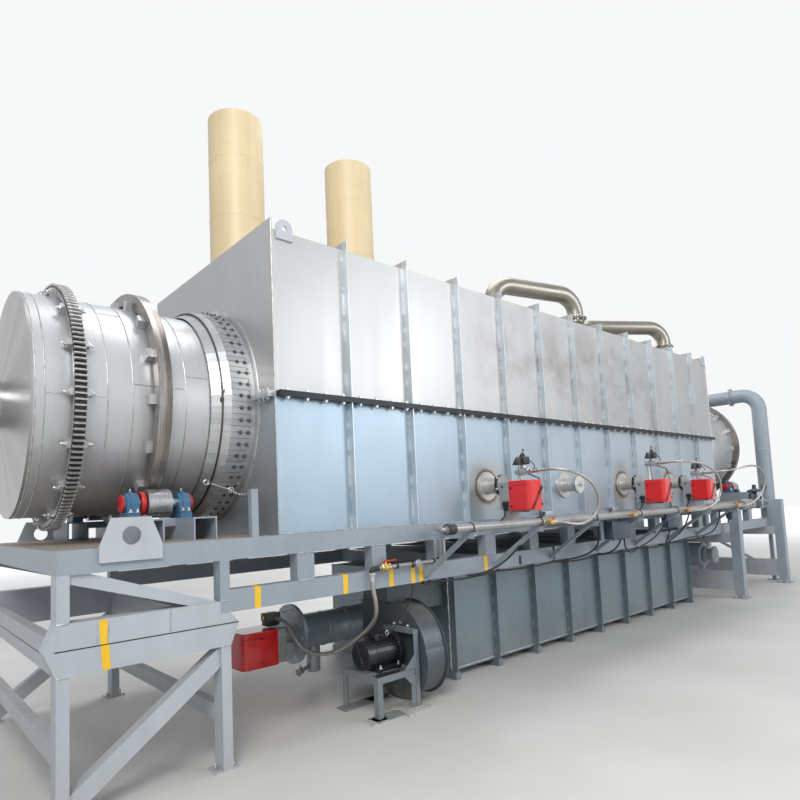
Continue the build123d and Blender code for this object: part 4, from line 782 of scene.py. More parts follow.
def brushed_disc(colour):
    """The drum's end plate: fine lines turned round its middle, and a painted sheen that fans round it in
    place of the light those lines catch.
    """
    finish = Finish("brushed_disc", metallic=0.8, roughness=0.33)
    g = finish.graph
    around = finish.effect(round_drum(), None, Across=1.0, Around=1.0)
    rings = g.noise(g.add("ShaderNodeCombineXYZ", {0: g.times(around["Radius"], 90.0)}), 3.0, 4.0, 0.6)
    # Painted sheen: a lighter colour laid in a fan round the middle, standing in for the light the turned
    # lines catch
    sheen = g.noise(g.add("ShaderNodeCombineXYZ",
                          {0: g.math("COSINE", around["Angle"]), 1: g.math("SINE", around["Angle"])}), 3.0,
                    2.0)
    base = g.mix(g.remap(rings, 0.3, 0.7), rgba(colour), (0.42, 0.41, 0.40, 1))
    finish.colour(g.mix(g.remap(sheen, 0.4, 0.65, 0.0, 0.35), base, (0.62, 0.60, 0.57, 1)))
    return finish.height(rings, 0.12, 0.001).material


def bright_metal(name, colour, roughness=0.3, scale=60.0, film=0.25):
    """Plated or bare small metal: slight tone change, fine grain and a little dirt."""
    finish = Finish(name, metallic=1.0, roughness=roughness)
    g = finish.graph
    drift = finish.effect(tone_drift(), None, Color=rgba(colour), Amount=0.12, Size=8.0)
    dirty = finish.effect(scuffs(), None, Color=drift["Color"], Bare=(0.09, 0.075, 0.06, 1), Amount=film,
                          Scale=scale)
    finish.colour(dirty["Color"])
    finish.rough(g.remap(drift["Mask"], 0.3, 0.7, roughness - 0.06, roughness + 0.1))
    return finish.height(finish.effect(fine_grain(), "Height", Scale=scale * 8), 0.08, 0.0005).material


def cable_rubber():
    """Cable sheath: dull black with faint dust."""
    finish = Finish("cable_rubber", roughness=0.55)
    drift = finish.effect(tone_drift(), None, Color=(0.012, 0.012, 0.013, 1), Amount=0.2, Size=6.0)
    finish.colour(finish.effect(settled_dust(), Color=drift["Color"], Amount=0.25, Low=0.2))
    return finish.height(finish.effect(fine_grain(), "Height", Scale=500.0), 0.1, 0.0004).material


def seal_leaf():
    """Pale sheet leaves of the seal: each leaf a little lighter or darker than the next."""
    finish = Finish("seal_leaf", metallic=0.6, roughness=0.36)
    g = finish.graph
    around = finish.effect(round_drum(), None, Across=6.0, Around=3.0)
    number = g.math("FLOOR", g.times(around["Angle"], leaf_count / math.tau))
    tone = g.remap(g.add("ShaderNodeTexWhiteNoise", {"W": number}, noise_dimensions="1D"), 0.0, 1.0, 0.9,
                   1.08)
    level = g.grey(tone)
    base = g.mix(1.0, (0.52, 0.53, 0.54, 1), level, "MULTIPLY")
    share = g.math("FRACT", g.times(around["Angle"], leaf_count / math.tau))
    # Painted shade: the slots between the leaves near the wall are drawn nearly black, as the shade inside
    # them
    slot = g.remap(g.math("ABSOLUTE", g.minus(share, 0.5)), 0.465, 0.485)
    from_wall = g.minus(g.math("ABSOLUTE", g.minus(g.split(g.place())[0], (casing_x0 + casing_x1) / 2)),
                        (casing_x1 - casing_x0) / 2)
    slot_shade = g.times(slot, g.near(from_wall, 0.125, 0.075, 0.004))
    base = g.mix(g.times(slot_shade, 0.8), base, (0.09, 0.095, 0.10, 1))
    rub = g.remap(g.noise(around["Place"], 4.0, 5.0, 0.65), 0.52, 0.75)
    finish.colour(g.mix(g.times(rub, 0.3), base, (0.3, 0.31, 0.32, 1)))
    finish.rough(g.remap(rub, 0.0, 1.0, 0.32, 0.48))
    return finish.height(finish.effect(fine_grain(), "Height", Scale=120.0, Wave=0.8, Wave_scale=14.0), 0.1,
                         0.001).material


def weld_metal():
    """Weld beads: silvery ripples with straw and grey tints."""
    finish = Finish("weld_metal", metallic=0.7, roughness=0.42)
    g = finish.graph
    tint = g.noise(g.place(), 18.0, 3.0, 0.6)
    finish.colour(g.mix(g.remap(tint, 0.35, 0.65), (0.60, 0.62, 0.64, 1), (0.36, 0.35, 0.34, 1)))
    return finish.height(g.noise(g.place(), 260.0, 2.0), 0.2, 0.001).material


def chamber_steel():
    """The chamber's grey paint, painted lighter than its own tone to stand in for light where it sits in
    shade, with its brushed sheen, and the paler pipe stub that hangs below it.
    """
    finish = Finish("chamber_steel", metallic=0.35, roughness=0.4)
    g = finish.graph
    under = g.remap(g.split(g.place())[2], 0.305, 0.290)
    # Painted light: the chamber's grey is set lighter than its real paint to make up for the shade it sits in
    base = g.mix(under, (0.35, 0.41, 0.46, 1), (0.50, 0.53, 0.55, 1))
    drift = finish.effect(tone_drift(), None, Color=base, Amount=0.2, Size=2.2)
    worn = finish.effect(scuffs(), None, Color=drift["Color"], Bare=(0.34, 0.35, 0.35, 1), Amount=0.4,
                         Scale=22.0)
    finish.colour(finish.effect(settled_dust(), Color=worn["Color"], Amount=0.3, Low=0.2))
    return finish.height(finish.effect(fine_grain(), "Height", Scale=160.0, Wave=0.8), 0.12).material


def concrete_grout():
    """Rough grout under the fan stand: pale cement with grit and chipped edges."""
    finish = Finish("concrete_grout", roughness=0.9)
    g = finish.graph
    grit = g.noise(g.place(), 60.0, 6.0, 0.7)
    finish.colour(g.mix(g.remap(grit, 0.35, 0.65), (0.30, 0.285, 0.26, 1), (0.55, 0.53, 0.49, 1)))
    return finish.height(grit, 0.6, 0.004).material


def braided_hose():
    """Braided metal hose: two sets of strands cross over on the hose's own length and girth."""
    finish = Finish("braided_hose", metallic=0.75, roughness=0.36)
    g = finish.graph
    along, around = g.split(g.add("ShaderNodeTexCoord", output=2))[:2]
    strands = []
    for way in (-1, 1):
        turn = g.plus(g.times(along, 700.0), g.times(around, way * 12 * math.tau))
        strands.append(g.math("SINE", turn))
    braid = g.remap(g.math("MAXIMUM", *strands), -0.2, 0.9)
    drift = finish.effect(tone_drift(), "Color", Color=(0.58, 0.56, 0.51, 1), Amount=0.15, Size=5.0)
    finish.colour(g.mix(braid, (0.17, 0.16, 0.14, 1), drift))
    return finish.height(braid, 0.3, 0.0006).material


# Paints: a colour, or the name of one of the furnace's colours, and what differs from a plain sheet's paint
PAINTS = {
    "frame_grey": ("rails", dict(tone=0.09, roughness=0.42, dust=0.45, wear=0.3, bare=(0.5, 0.52, 0.54))),
    "stand_grey": ((0.15, 0.185, 0.215), dict(roughness=0.45, dust=0.6, wear=0.35, bare=(0.4, 0.42, 0.43))),
    "lower_box_sheet": ("lower_box", dict(tone=0.13, size=1.0, metallic=0.45, roughness=0.38, dust=0.55,
        dust_low=0.55, wear=0.3, wave=3.0, bump=0.16)),
    "cream_cladding": ("cladding", dict(tone=0.1, size=2.0, roughness=0.42, dust=0.25, wear=0.3,
        bare=(0.30, 0.22, 0.12), wave=2.0)),
    "pipe_silver": ((0.35, 0.35, 0.35), dict(tone=0.22, size=4.0, metallic=0.6, roughness=0.36, wear=0.9,
        bare=(0.16, 0.10, 0.06))),
    "duct_steel": ((0.27, 0.255, 0.215), dict(tone=0.14, size=2.4, metallic=0.75, roughness=0.34, wear=0.45,
        bare=(0.17, 0.13, 0.09))),
    "chamber_dark": ((0.085, 0.105, 0.118), dict(tone=0.16, size=2.2, metallic=0.3, roughness=0.4, dust=0.6,
        dust_low=0.35, wear=0.4, bare=(0.26, 0.27, 0.27))),
    "burner_red": ("enamel", dict(tone=0.05, roughness=0.22, dust=0.2, wear=0.12, bare=(0.3, 0.02, 0.02),
                                  bump=0.04, Coat_Weight=0.6, Coat_Roughness=0.08)),
    "cast_grey": ((0.42, 0.43, 0.435), dict(tone=0.1, size=7.0, metallic=0.6, roughness=0.45, wear=0.5,
        bare=(0.16, 0.15, 0.14), grain=420.0, bump=0.35)),
    "valve_black": ((0.014, 0.015, 0.017), dict(tone=0.15, size=7.0, roughness=0.42, dust=0.25, wear=0.3,
        bare=(0.12, 0.12, 0.12), grain=500.0)),
    "bearing_blue": ("bearing", dict(tone=0.14, size=7.0, roughness=0.36, dust=0.3, wear=0.6,
        bare=(0.30, 0.33, 0.36), grain=300.0, bump=0.25)),
    "guard_red": ((0.55, 0.018, 0.016),
                  dict(tone=0.1, size=7.0, roughness=0.38, wear=0.4, bare=(0.25, 0.2, 0.2))),
    "motor_black": ((0.012, 0.015, 0.021), dict(tone=0.2, size=7.0, roughness=0.3, dust=0.08, dust_low=0.1,
        wear=0.15, bare=(0.1, 0.1, 0.1), grain=300.0)),
    "deck_brown": ((0.27, 0.225, 0.19), dict(tone=0.25, size=1.5, metallic=0.3, roughness=0.6, dust=0.6,
        wear=0.8, bare=(0.12, 0.07, 0.04))),
    "tape_yellow": ("tape", dict(tone=0.07, size=8.0, roughness=0.4, dust=0.4, wear=0.5,
                                 bare=(0.55, 0.36, 0.05), bump=0.06)),
    "stand_pale": ((0.42, 0.455, 0.50),
                   dict(tone=0.13, roughness=0.42, dust=0.45, wear=0.5, bare=(0.27, 0.28, 0.30))),
    "lug_pale": ((0.46, 0.49, 0.53),
                 dict(tone=0.12, roughness=0.42, dust=0.3, wear=0.5, bare=(0.32, 0.31, 0.30))),
    "port_steel": ((0.60, 0.585, 0.555), dict(tone=0.14, size=5.0, metallic=0.55, roughness=0.36, wear=0.7,
        bare=(0.24, 0.17, 0.11))),
    "packing_rope": ((0.47, 0.40, 0.28), dict(tone=0.15, size=9.0, roughness=0.85, dust=0.2, wear=0.3,
        bare=(0.2, 0.17, 0.12), grain=500.0, bump=0.5)),
    "valve_olive": ((0.075, 0.080, 0.062), dict(tone=0.2, size=6.0, roughness=0.4, dust=0.3, wear=0.5,
        bare=(0.3, 0.3, 0.28), grain=300.0)),
    "valve_blue": ((0.035, 0.055, 0.085), dict(tone=0.15, size=6.0, roughness=0.4, dust=0.3, wear=0.4,
        bare=(0.25, 0.26, 0.28), grain=300.0)),
}

# Small metals: colour, roughness, and where they differ the grain's scale and the share of dirt
METALS = {
    "zinc": ((0.60, 0.60, 0.59), 0.32),
    "black_bolt": ((0.075, 0.075, 0.078), 0.42),
    "seal_bolt": ((0.20, 0.205, 0.21), 0.3),
    "brass": ((0.68, 0.45, 0.17), 0.28),
    "chain_steel": ((0.46, 0.45, 0.43), 0.36),
    "wire_dark": ((0.12, 0.115, 0.11), 0.45),
    "valve_alloy": ((0.66, 0.67, 0.68), 0.38, 40.0, 0.2),
}

# Turned steels: light and dark tone, lines across, oily film and roughness
STEELS = {
    "ring_steel": ((0.46, 0.435, 0.41), (0.23, 0.21, 0.195), 40.0, 0.7, 0.27),
    "roller_steel": ((0.66, 0.66, 0.66), (0.36, 0.36, 0.37), 130.0, 0.25, 0.26),
}

finishes = {}


def finish_named(name):
    """One material of this furnace, made when it is first asked for."""
    if name in finishes:
        return finishes[name]
    colours = bpy.context.scene.furnace_colours
    if name in PAINTS:
        colour, settings = PAINTS[name]
        if isinstance(colour, str):
            colour = getattr(colours, colour)
        made = painted(name, colour, **settings)
    elif name in METALS:
        made = bright_metal(name, *METALS[name])
    elif name in STEELS:
        made = turned_steel(name, *STEELS[name])
    else:
        makers = {
            "casing_sheet": lambda: casing_sheet(colours.casing),
            "drum_steel": lambda: drum_steel(colours.drum),
            "drum_end_plate": lambda: brushed_disc((0.34, 0.335, 0.33)),
            "seal_leaf": seal_leaf,
            "gear_steel": gear_steel,
            "weld_metal": weld_metal,
            "cable_rubber": cable_rubber,
            "braided_hose": braided_hose,
            "concrete_grout": concrete_grout,
            "chamber_steel": chamber_steel,
        }
        made = makers[name]()
    finishes[name] = made
    return made


def node_finish(node):
    """The finish of a CAD node, found by the first words of its name."""
    table = (
        ("casing_", "casing_sheet"), ("drum_shell", "drum_steel"), ("drum_inlet_end", "drum_end_plate"),
        ("drum_outlet_end", "drum_end_plate"), ("drum_", "roller_steel"), ("girth_gear", "gear_steel"),
        ("gear_brackets", "drum_steel"), ("ring_blocks", "drum_steel"), ("riding_ring", "ring_steel"),
        ("roller_bearings", "bearing_blue"), ("roller_bases", "frame_grey"), ("roller_", "roller_steel"),
        ("seal_collars", "seal_leaf"), ("seal_scales", "seal_leaf"), ("seal_ropes", "wire_dark"),
        ("chimney", "cream_cladding"), ("roof_ducts", "duct_steel"), ("lower_box", "lower_box_sheet"),
        ("inlet_stand", "stand_pale"), ("stand_ties", "stand_pale"), ("lifting_plates", "lug_pale"),
        ("deck_sheets", "deck_brown"), ("fan_stand", "stand_grey"), ("fan_motor", "motor_black"),
        ("fan_housing", "chamber_dark"), ("combustion_chamber", "chamber_steel"),
        ("outlet_hood", "drum_steel"), ("gas_header", "pipe_silver"),
        ("gas_trains", "valve_black"), ("burner_ports", "port_steel"), ("burner_covers", "burner_red"),
        ("burner_bodies", "cast_grey"), ("burner_hose", "braided_hose"), ("chamber_hose", "braided_hose"),
    )
    for start, finish in table:
        if node.startswith(start):
            return finish
    return "frame_grey"


class FURNACE_OT_dress_frame(bpy.types.Operator):
    """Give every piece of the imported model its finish"""

    bl_idname = "furnace.dress_frame"
    bl_label = "Dress the frame"

    def execute(self, context):
        for node, piece in frame["nodes"].items():
            material = finish_named(node_finish(node))
            if not piece.material_slots:
                piece.data.materials.append(material)
            for slot in piece.material_slots:
                slot.material = material
        return {"FINISHED"}


class FURNACE_OT_casing_bolts(bpy.types.Operator):
    """Bolts along the casing's split flanges and under its lifting eyes"""

    bl_idname = "furnace.casing_bolts"
    bl_label = "Casing bolts"

    def execute(self, context):
        sizes = context.scene.furnace_sizes
        flange = 0.022
        count = int((casing_x1 - casing_x0) / sizes.bolt_pitch)
        xs = casing_x0 + (np.arange(count) + 0.5) * (casing_x1 - casing_x0) / count
        xs = xs[np.abs((xs - casing_x0 + bay / 2) % bay - bay / 2) > sizes.bolt_size]
        rows = [points_at(xs, side, 0.0) for side in (near_y - rib_out * 0.55, far_y + rib_out * 0.55)]
        end_ys = np.linspace(1.0, far_y - 0.05, 3)
        for x in (casing_x0 - rib_out * 0.55, casing_x1 + rib_out * 0.55):
            rows += [points_at(x, way * end_ys, 0.0) for way in (-1, 1)]
        flat = np.concatenate(rows)
        head = bolt(sizes.bolt_size, 0.008)
        make_piece("casing_flange_bolts", [stood(head, flat + [0, 0, split_z + flange], UP),
            stood(head, flat + [0, 0, split_z - flange], DOWN)], "zinc")
        return {"FINISHED"}


class FURNACE_OT_casing_welds(bpy.types.Operator):
    """Stitch welds along the casing's ribs and seams round its edges"""

    bl_idname = "furnace.casing_welds"
    bl_label = "Casing welds"

    def execute(self, context):
        sizes = context.scene.furnace_sizes
        radius = sizes.bead_radius
        stitch = bead(line((0, 0, 0), (0, 0, sizes.stitch_length), 10), radius, up=OUTLET)
        half_sheet = 0.004
        places = []
        for low, high in ((rail_top + 0.04, split_z - 0.06), (split_z + 0.06, roof_z - 0.06)):
            for z in np.arange(low, high - sizes.stitch_length, sizes.stitch_pitch):
                for face in (near_y, far_y):
                    for way in (-1, 1):
                        xs = casing_x0 + np.arange(1, bay_count) * bay + way * half_sheet
                        shift = sizes.stitch_pitch / 2 if way > 0 else 0.0
                        places.append(points_at(xs, face, z + shift))
        roof = bead(line((0, 0, 0), (0, sizes.stitch_length, 0), 10), radius)
        roof_places = [(casing_x0 + k * bay + way * half_sheet, y, roof_z) for k in range(1, bay_count)
                       for y in np.arange(near_y + 0.1, far_y - 0.1, 2 * sizes.stitch_pitch)
                       for way in (-1, 1)]
        make_piece("casing_stitch_welds",
                   [stood(stitch, np.concatenate(places), UP), stood(roof, np.array(roof_places), UP)],
                   "weld_metal")

        seams = []
        for x, way in ((casing_x0, -1), (casing_x1, 1)):
            for y in (near_y, far_y):
                seams.append(bead(line((x, y, rail_top + 0.01), (x, y, roof_z + 0.08), 300), radius,
                                  up=OUTLET))
            seams.append(bead(drum_point(x, np.degrees(full_turn(420)), wall_opening + 0.050), radius * 1.2,
                              up=OUTLET, closed=True))
        for y in (near_y, far_y):
            seams.append(bead(line((casing_x0 + 0.02, y, rail_top + 0.003),
                                   (casing_x1 - 0.02, y, rail_top + 0.003), 1500), radius * 1.3))
        make_piece("casing_seams", seams, "weld_metal")
        return {"FINISHED"}


class FURNACE_OT_drum_seams(bpy.types.Operator):
    """Weld seams of the drum's courses, round it and along it"""

    bl_idname = "furnace.drum_seams"
    bl_label = "Drum seams"

    def execute(self, context):
        radius = context.scene.furnace_sizes.bead_radius
        inlet_seams = [casing_x0 - reach for reach in (1.40, 1.035, 0.875, 0.51)]
        outlet_seams = [casing_x1 + reach for reach in (0.50, 1.05, 1.45)]
        turn = np.linspace(0, 360, 620, endpoint=False)
        shapes = [bead(drum_point(x, turn, drum_radius), radius, up=OUTLET, closed=True)
                  for x in inlet_seams + outlet_seams]
        along = ((casing_x0 - 1.40, casing_x0 - 1.035, -2.5), (casing_x0 - 1.035, casing_x0 - 0.875, 50.0),
                 (casing_x0 - 0.875, casing_x0 - 0.51, 5.0), (casing_x0 - 0.51, casing_x0 - 0.34, 12.0),
                 (casing_x0 - 1.46, casing_x0 - 1.40, 150.0), (casing_x1 + 0.50, casing_x1 + 1.05, 20.0),
                 (casing_x1 + 1.05, casing_x1 + 1.45, -35.0))
        for start, end, degrees in along:
            path = line(drum_point(start, degrees, drum_radius), drum_point(end, degrees, drum_radius),
                        max(12, int((end - start) / 0.005)))
            shapes.append(bead(path, radius))
        for x in (drum_x0 + 0.008, drum_x1 - 0.008):
            shapes.append(bead(drum_point(x, turn, drum_radius - 0.0005), radius, up=OUTLET, closed=True))
        make_piece("drum_seams", shapes, "weld_metal", "drum")
        return {"FINISHED"}


class FURNACE_OT_gear_fittings(bpy.types.Operator):
    """Clamping bolts of the girth gear's brackets, and the weld runs of brackets and ring blocks"""

    bl_idname = "furnace.gear_fittings"
    bl_label = "Gear and ring fittings"

    def execute(self, context):
        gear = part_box("girth_gear")
        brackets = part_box("gear_brackets")
        bolt_radius = gear[1].y - 0.057
        head = bolt(0.030, 0.012)
        shapes = []
        bracket_count = 16
        for x, out in ((brackets[0].x, INLET), (brackets[1].x, OUTLET)):
            places = ring_places((x, 0, drum_z), out, bolt_radius, bracket_count,
                                 start=self.bracket_start(out))
            shapes.append(placed(head, places))
        make_piece("gear_bolts", shapes, "zinc", "drum")

        runs = []
        foot = bead(line((0, -0.032, 0), (0, 0.032, 0), 12), 0.005)
        xs = [brackets[0].x, brackets[1].x]
        for end in ("inlet", "outlet"):
            xs += [ring_xs[end] - 0.0875, ring_xs[end] + 0.0455]
        for x in xs:
            places = ring_places((x, 0, drum_z), OUTLET, drum_radius, bracket_count,
                                 start=self.bracket_start(OUTLET), flat=False)
            runs.append(placed(foot, places))
        make_piece("bracket_welds", runs, "weld_metal", "drum")
        return {"FINISHED"}

    @staticmethod
    def bracket_start(axis):
        """Turn of the first bracket: blocks start on the level line towards +Y, half a block on."""
        side = Vector(axis).orthogonal().normalized()
        up = Vector(axis).cross(side)
        half_block = math.radians(1.9)
        towards = Vector((0, math.cos(half_block), math.sin(half_block)))
        return math.atan2(towards.dot(up), towards.dot(side))


def seal_point(reach, degrees, lift=0.0):
    """A point on the inlet seal at a distance from the casing wall and an angle above the level line."""
    flat, tip = 0.200, 0.330
    fall = (collar_radius - drum_radius - 0.004) * (reach - flat) / (tip - flat)
    radius = collar_radius - max(0.0, fall)
    return drum_point(casing_x0 - reach, degrees, radius + lift)


class FURNACE_OT_seal_fittings(bpy.types.Operator):
    """Bolts of the seal's leaves, tacks at its edges, the rope's clamp, the turnbuckle and its chain"""

    bl_idname = "furnace.seal_fittings"
    bl_label = "Seal fittings"

    def execute(self, context):
        size = context.scene.furnace_sizes.seal_bolt
        angles = (np.arange(leaf_count) + 0.5) * 360 / leaf_count
        heads, tacks = [], []
        for face, way in ((casing_x0, -1), (casing_x1, 1)):
            for reach in (0.062, 0.125):
                centres = drum_point(face + way * reach, angles, collar_radius + 0.003)
                heads.append(stand_on(centres, centres - [face + way * reach, 0, drum_z]))
            shown = angles[(angles < 12) | (angles > 325)] if way < 0 else angles
            tip = drum_point(face + way * 0.330, shown, drum_radius + 0.005)
            tacks.append(stand_on(tip, tip - [face + way * 0.330, 0, drum_z]))
            edge = drum_point(face + way * 0.050, angles + 2.4, collar_radius + 0.0035)
            tacks.append(stand_on(edge, edge - [face + way * 0.050, 0, drum_z]))
        make_piece("seal_bolts", [placed(bolt(size, 0.005), np.concatenate(heads))], "seal_bolt")
        tack = turned([(0, -0.001), (0.0085, 0), (0.0065, 0.004), (0, 0.006)], 8)
        make_piece("seal_tacks", [placed(tack, np.concatenate(tacks))], "weld_metal")
        self.rope_clamp()
        self.turnbuckle()
        return {"FINISHED"}

    @staticmethod
    def rope_clamp():
        """The rope's two ends cross in a bolted clamp on the level line, and one end stands out."""
        middle = drum_point(casing_x0 - 0.262, 0.5, drum_radius + 0.047)
        clamp = slab(middle - [0.014, 0.010, 0.016], middle + [0.014, 0.008, 0.016], 0.003, 2)
        nuts = stood(bolt(0.012, 0.006), [middle + [0, -0.010, z] for z in (-0.009, 0.009)], NEAR)
        tail = swept(rounded_path([middle, middle + [-0.004, -0.012, 0.035],
                                   middle + [0.012, -0.020, 0.075]], 0.012), circle(0.0045, 8), up=OUTLET)
        make_piece("rope_clamp", [clamp, nuts, tail], "wire_dark")

    @staticmethod
    def turnbuckle():
        """A long eyed rod, a hook and open links, each a ring stretched between two half circles."""
        start, joint = seal_point(0.290, -44.0, 0.022), seal_point(0.105, -45.5, 0.030)
        post = np.array((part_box("chain_post")[0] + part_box("chain_post")[1]) / 2)
        post[2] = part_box("chain_post")[1].z - 0.020
        along = (joint - start) / np.linalg.norm(joint - start)
        rod = swept(line(start, joint, 4), circle(0.0065, 10), up=UP)
        eyes = []
        for centre in (start, joint):
            turn = full_turn(20)
            side = np.cross(along, FAR)
            side /= np.linalg.norm(side)
            path = centre + 0.019 * (np.cos(turn)[:, None] * along + np.sin(turn)[:, None] * side)
            eyes.append(swept(path, circle(0.0055, 8), up=(0.1, 1, 0), closed=True))
        make_piece("turnbuckle", [rod] + eyes, "zinc")
        span = post - joint
        count = int(np.linalg.norm(span) / 0.034)
        share = (np.arange(count) + 0.5) / count
        sag = 0.030 * 4 * share * (1 - share)
        centres = joint + span * share[:, None] - np.stack([0 * sag, 0 * sag, sag], -1)
        ways = np.gradient(centres, axis=0)
        turn = full_turn(16)
        oval = np.stack([0.014 * np.sign(np.cos(turn)) * (np.abs(np.cos(turn)) > 0.01)
                         + 0.008 * np.cos(turn), 0.010 * np.sin(turn), 0 * turn], -1)
        link = swept(oval, circle(0.0042, 6), up=UP, closed=True)
        links = []
        for number, (centre, way) in enumerate(zip(centres, ways)):
            side = np.cross(way, UP)
            out = side if number % 2 else np.cross(way, side)
            links.append(stood(link, centre, out, way))
        make_piece("seal_chain", links, "chain_steel")


class FURNACE_OT_roller_fittings(bpy.types.Operator):
    """Feet, bolts, grease nipples and end covers of the bearings, and the red collars on the rollers"""

    bl_idname = "furnace.roller_fittings"
    bl_label = "Roller fittings"

    def execute(self, context):
        housings, covers, bolts, nipples = [], [], [], []
        bearing_half, ring_radius, pitch = 0.040, 0.072, 0.175
        base_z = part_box("roller_bearings")[0].z
        foot_sheet = 0.036
        arch = np.linspace(0, np.pi, 9)
        recess = prism([(-0.017, -0.040), (0.017, -0.040),
                        *zip(0.017 * np.cos(arch), 0.012 + 0.017 * np.sin(arch))], 0.003, 0.001)
        for name in rollers:
            centre = joint_places[f"{name}_turn"]
            for way in (-1, 1):
                x = centre.x + way * pitch
                for side in (-1, 1):
                    y = centre.y + side * (ring_radius + 0.009)
                    housings.append(slab((x - bearing_half, y - 0.010, base_z + foot_sheet - 0.002),
                                         (x + bearing_half, y + 0.010, base_z + foot_sheet + 0.012), 0.004,
                                         2))
                    housings.append(stood(recess,
                                          (x, centre.y + side * (ring_radius + 0.0002), centre.z - 0.010),
                                          (0, side, 0), (-side, 0, 0)))
                    bolts += [(x + shift, y, base_z + foot_sheet + 0.012) for shift in (-0.022, 0.022)]
                housings.append(stood(turned([(0, 0), (0.011, 0), (0.011, 0.010), (0.008, 0.014),
                                              (0, 0.014)], 12),
                                      (x, centre.y, centre.z + ring_radius + 0.006), UP))
                nipples.append((x, centre.y, centre.z + ring_radius + 0.019))
                outer = x + way * (bearing_half + 0.014)
                covers.append(stood(turned([(0, -0.004), (0.060, -0.004), (0.060, 0.008), (0.052, 0.014),
                                            (0, 0.014)], 32), (outer, centre.y, centre.z), (way, 0, 0)))
            guard = turned([(0.0352, 0), (0.078, 0), (0.082, 0.006), (0.082, 0.024), (0.078, 0.030),
                            (0.0352, 0.030)], 40)
            make_piece(f"{name}_collar", [stood(guard, (centre.x - 0.118, centre.y, centre.z), OUTLET)],
                       "guard_red", name)
        make_piece("bearing_ribs", housings, "bearing_blue")
        make_piece("bearing_covers", covers, "guard_red")
        make_piece("bearing_bolts", [stood(bolt(0.020, 0.010), np.array(bolts), UP)], "zinc")
        nipple = turned([(0, 0), (0.005, 0), (0.005, 0.006), (0.0035, 0.008), (0.004, 0.012), (0, 0.014)], 10)
        make_piece("grease_nipples", [stood(nipple, np.array(nipples), UP)], "zinc")
        return {"FINISHED"}


def tube(corners, radius, bend=0.02, sides=10):
    """A round bar or cable on straight runs with arcs between them."""
    corners = [tuple(float(v) for v in corner) for corner in corners]
    path = rounded_path(corners, bend) if len(corners) > 2 else line(corners[0], corners[1], 2)
    way = np.abs(np.array(corners[-1]) - np.array(corners[0]))
    up = np.eye(3)[int(np.argmin(way))] + 0.01
    return swept(path, circle(radius, sides), up=tuple(up))


def eased(corners, rounds=3):
    """A soft line from its corners: each round cuts every corner a quarter of the way along its runs."""
    path = np.asarray(corners, float)
    for _ in range(rounds):
        cut = np.stack([0.75 * path[:-1] + 0.25 * path[1:], 0.25 * path[:-1] + 0.75 * path[1:]], 1)
        path = np.concatenate([path[:1], cut.reshape(-1, 3)[1:-1], path[-1:]])
    return path


def sagging(start, end, drop, radius, count=20):
    """A cable that hangs between two clips: a parabola below the straight line."""
    share = np.linspace(0, 1, count)
    path = line(start, end, count)
    path[:, 2] -= 4 * drop * share * (1 - share)
    return swept(path, circle(radius, 8),
                 up=(0.02, 1, 0.01) if abs(end[0] - start[0]) > abs(end[1] - start[1]) else OUTLET)


def nut(radius, depth):
    """A six-sided nut with cut corners, turned with six sides about Z."""
    cut = 0.12 * radius
    return turned([(0, 0), (radius - cut, 0), (radius, cut), (radius, depth - cut), (radius - cut, depth),
                   (0, depth)], 6)


def collar(inner, outer, depth, sides=32):
    """A ring about Z with cut edges."""
    cut = min(0.15 * (outer - inner), 0.3 * depth)
    return turned([(inner, 0), (outer - cut, 0), (outer, cut), (outer, depth - cut), (outer - cut, depth),
                   (inner, depth)], sides)


class FURNACE_OT_hoses(bpy.types.Operator):
    """Braided gas hoses on their routes, each with a crimped sleeve and a union nut at both ends"""

    bl_idname = "furnace.hoses"
    bl_label = "Gas hoses"

    def execute(self, context):
        for name, (diameter, length, points) in hose_routes.items():
            curve = bpy.data.curves.new(name + "_braid", "CURVE")
            curve.dimensions = "3D"
            curve.bevel_depth = diameter / 2
            curve.bevel_resolution = 3
            curve.resolution_u = 8
            curve.use_fill_caps = True
            spline = curve.splines.new("NURBS")
            spline.points.add(len(points) - 1)
            for point, place in zip(spline.points, points):
                point.co = (*place, 1)
            spline.order_u = 3
            spline.use_endpoint_u = True
            curve.materials.append(finish_named("braided_hose"))
            piece = bpy.data.objects.new(name + "_braid", curve)
            context.scene.collection.objects.link(piece)
            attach(piece, "plant")
            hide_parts(name)
            ends = []
            for first, second in (points[:2], points[:-3:-1]):
                out = np.array(second) - np.array(first)
                ends.append(stood(collar(diameter / 2 - 0.001, diameter / 2 + 0.0025, 0.045, 20), first,
                                  out))
                ends.append(stood(nut(diameter / 2 + 0.009, 0.022), first, -out))
                ends.append(stood(nut(diameter / 2 + 0.006, 0.012), first, out))
            fittings = make_piece(name + "_ends", ends, "zinc")
        return {"FINISHED"}


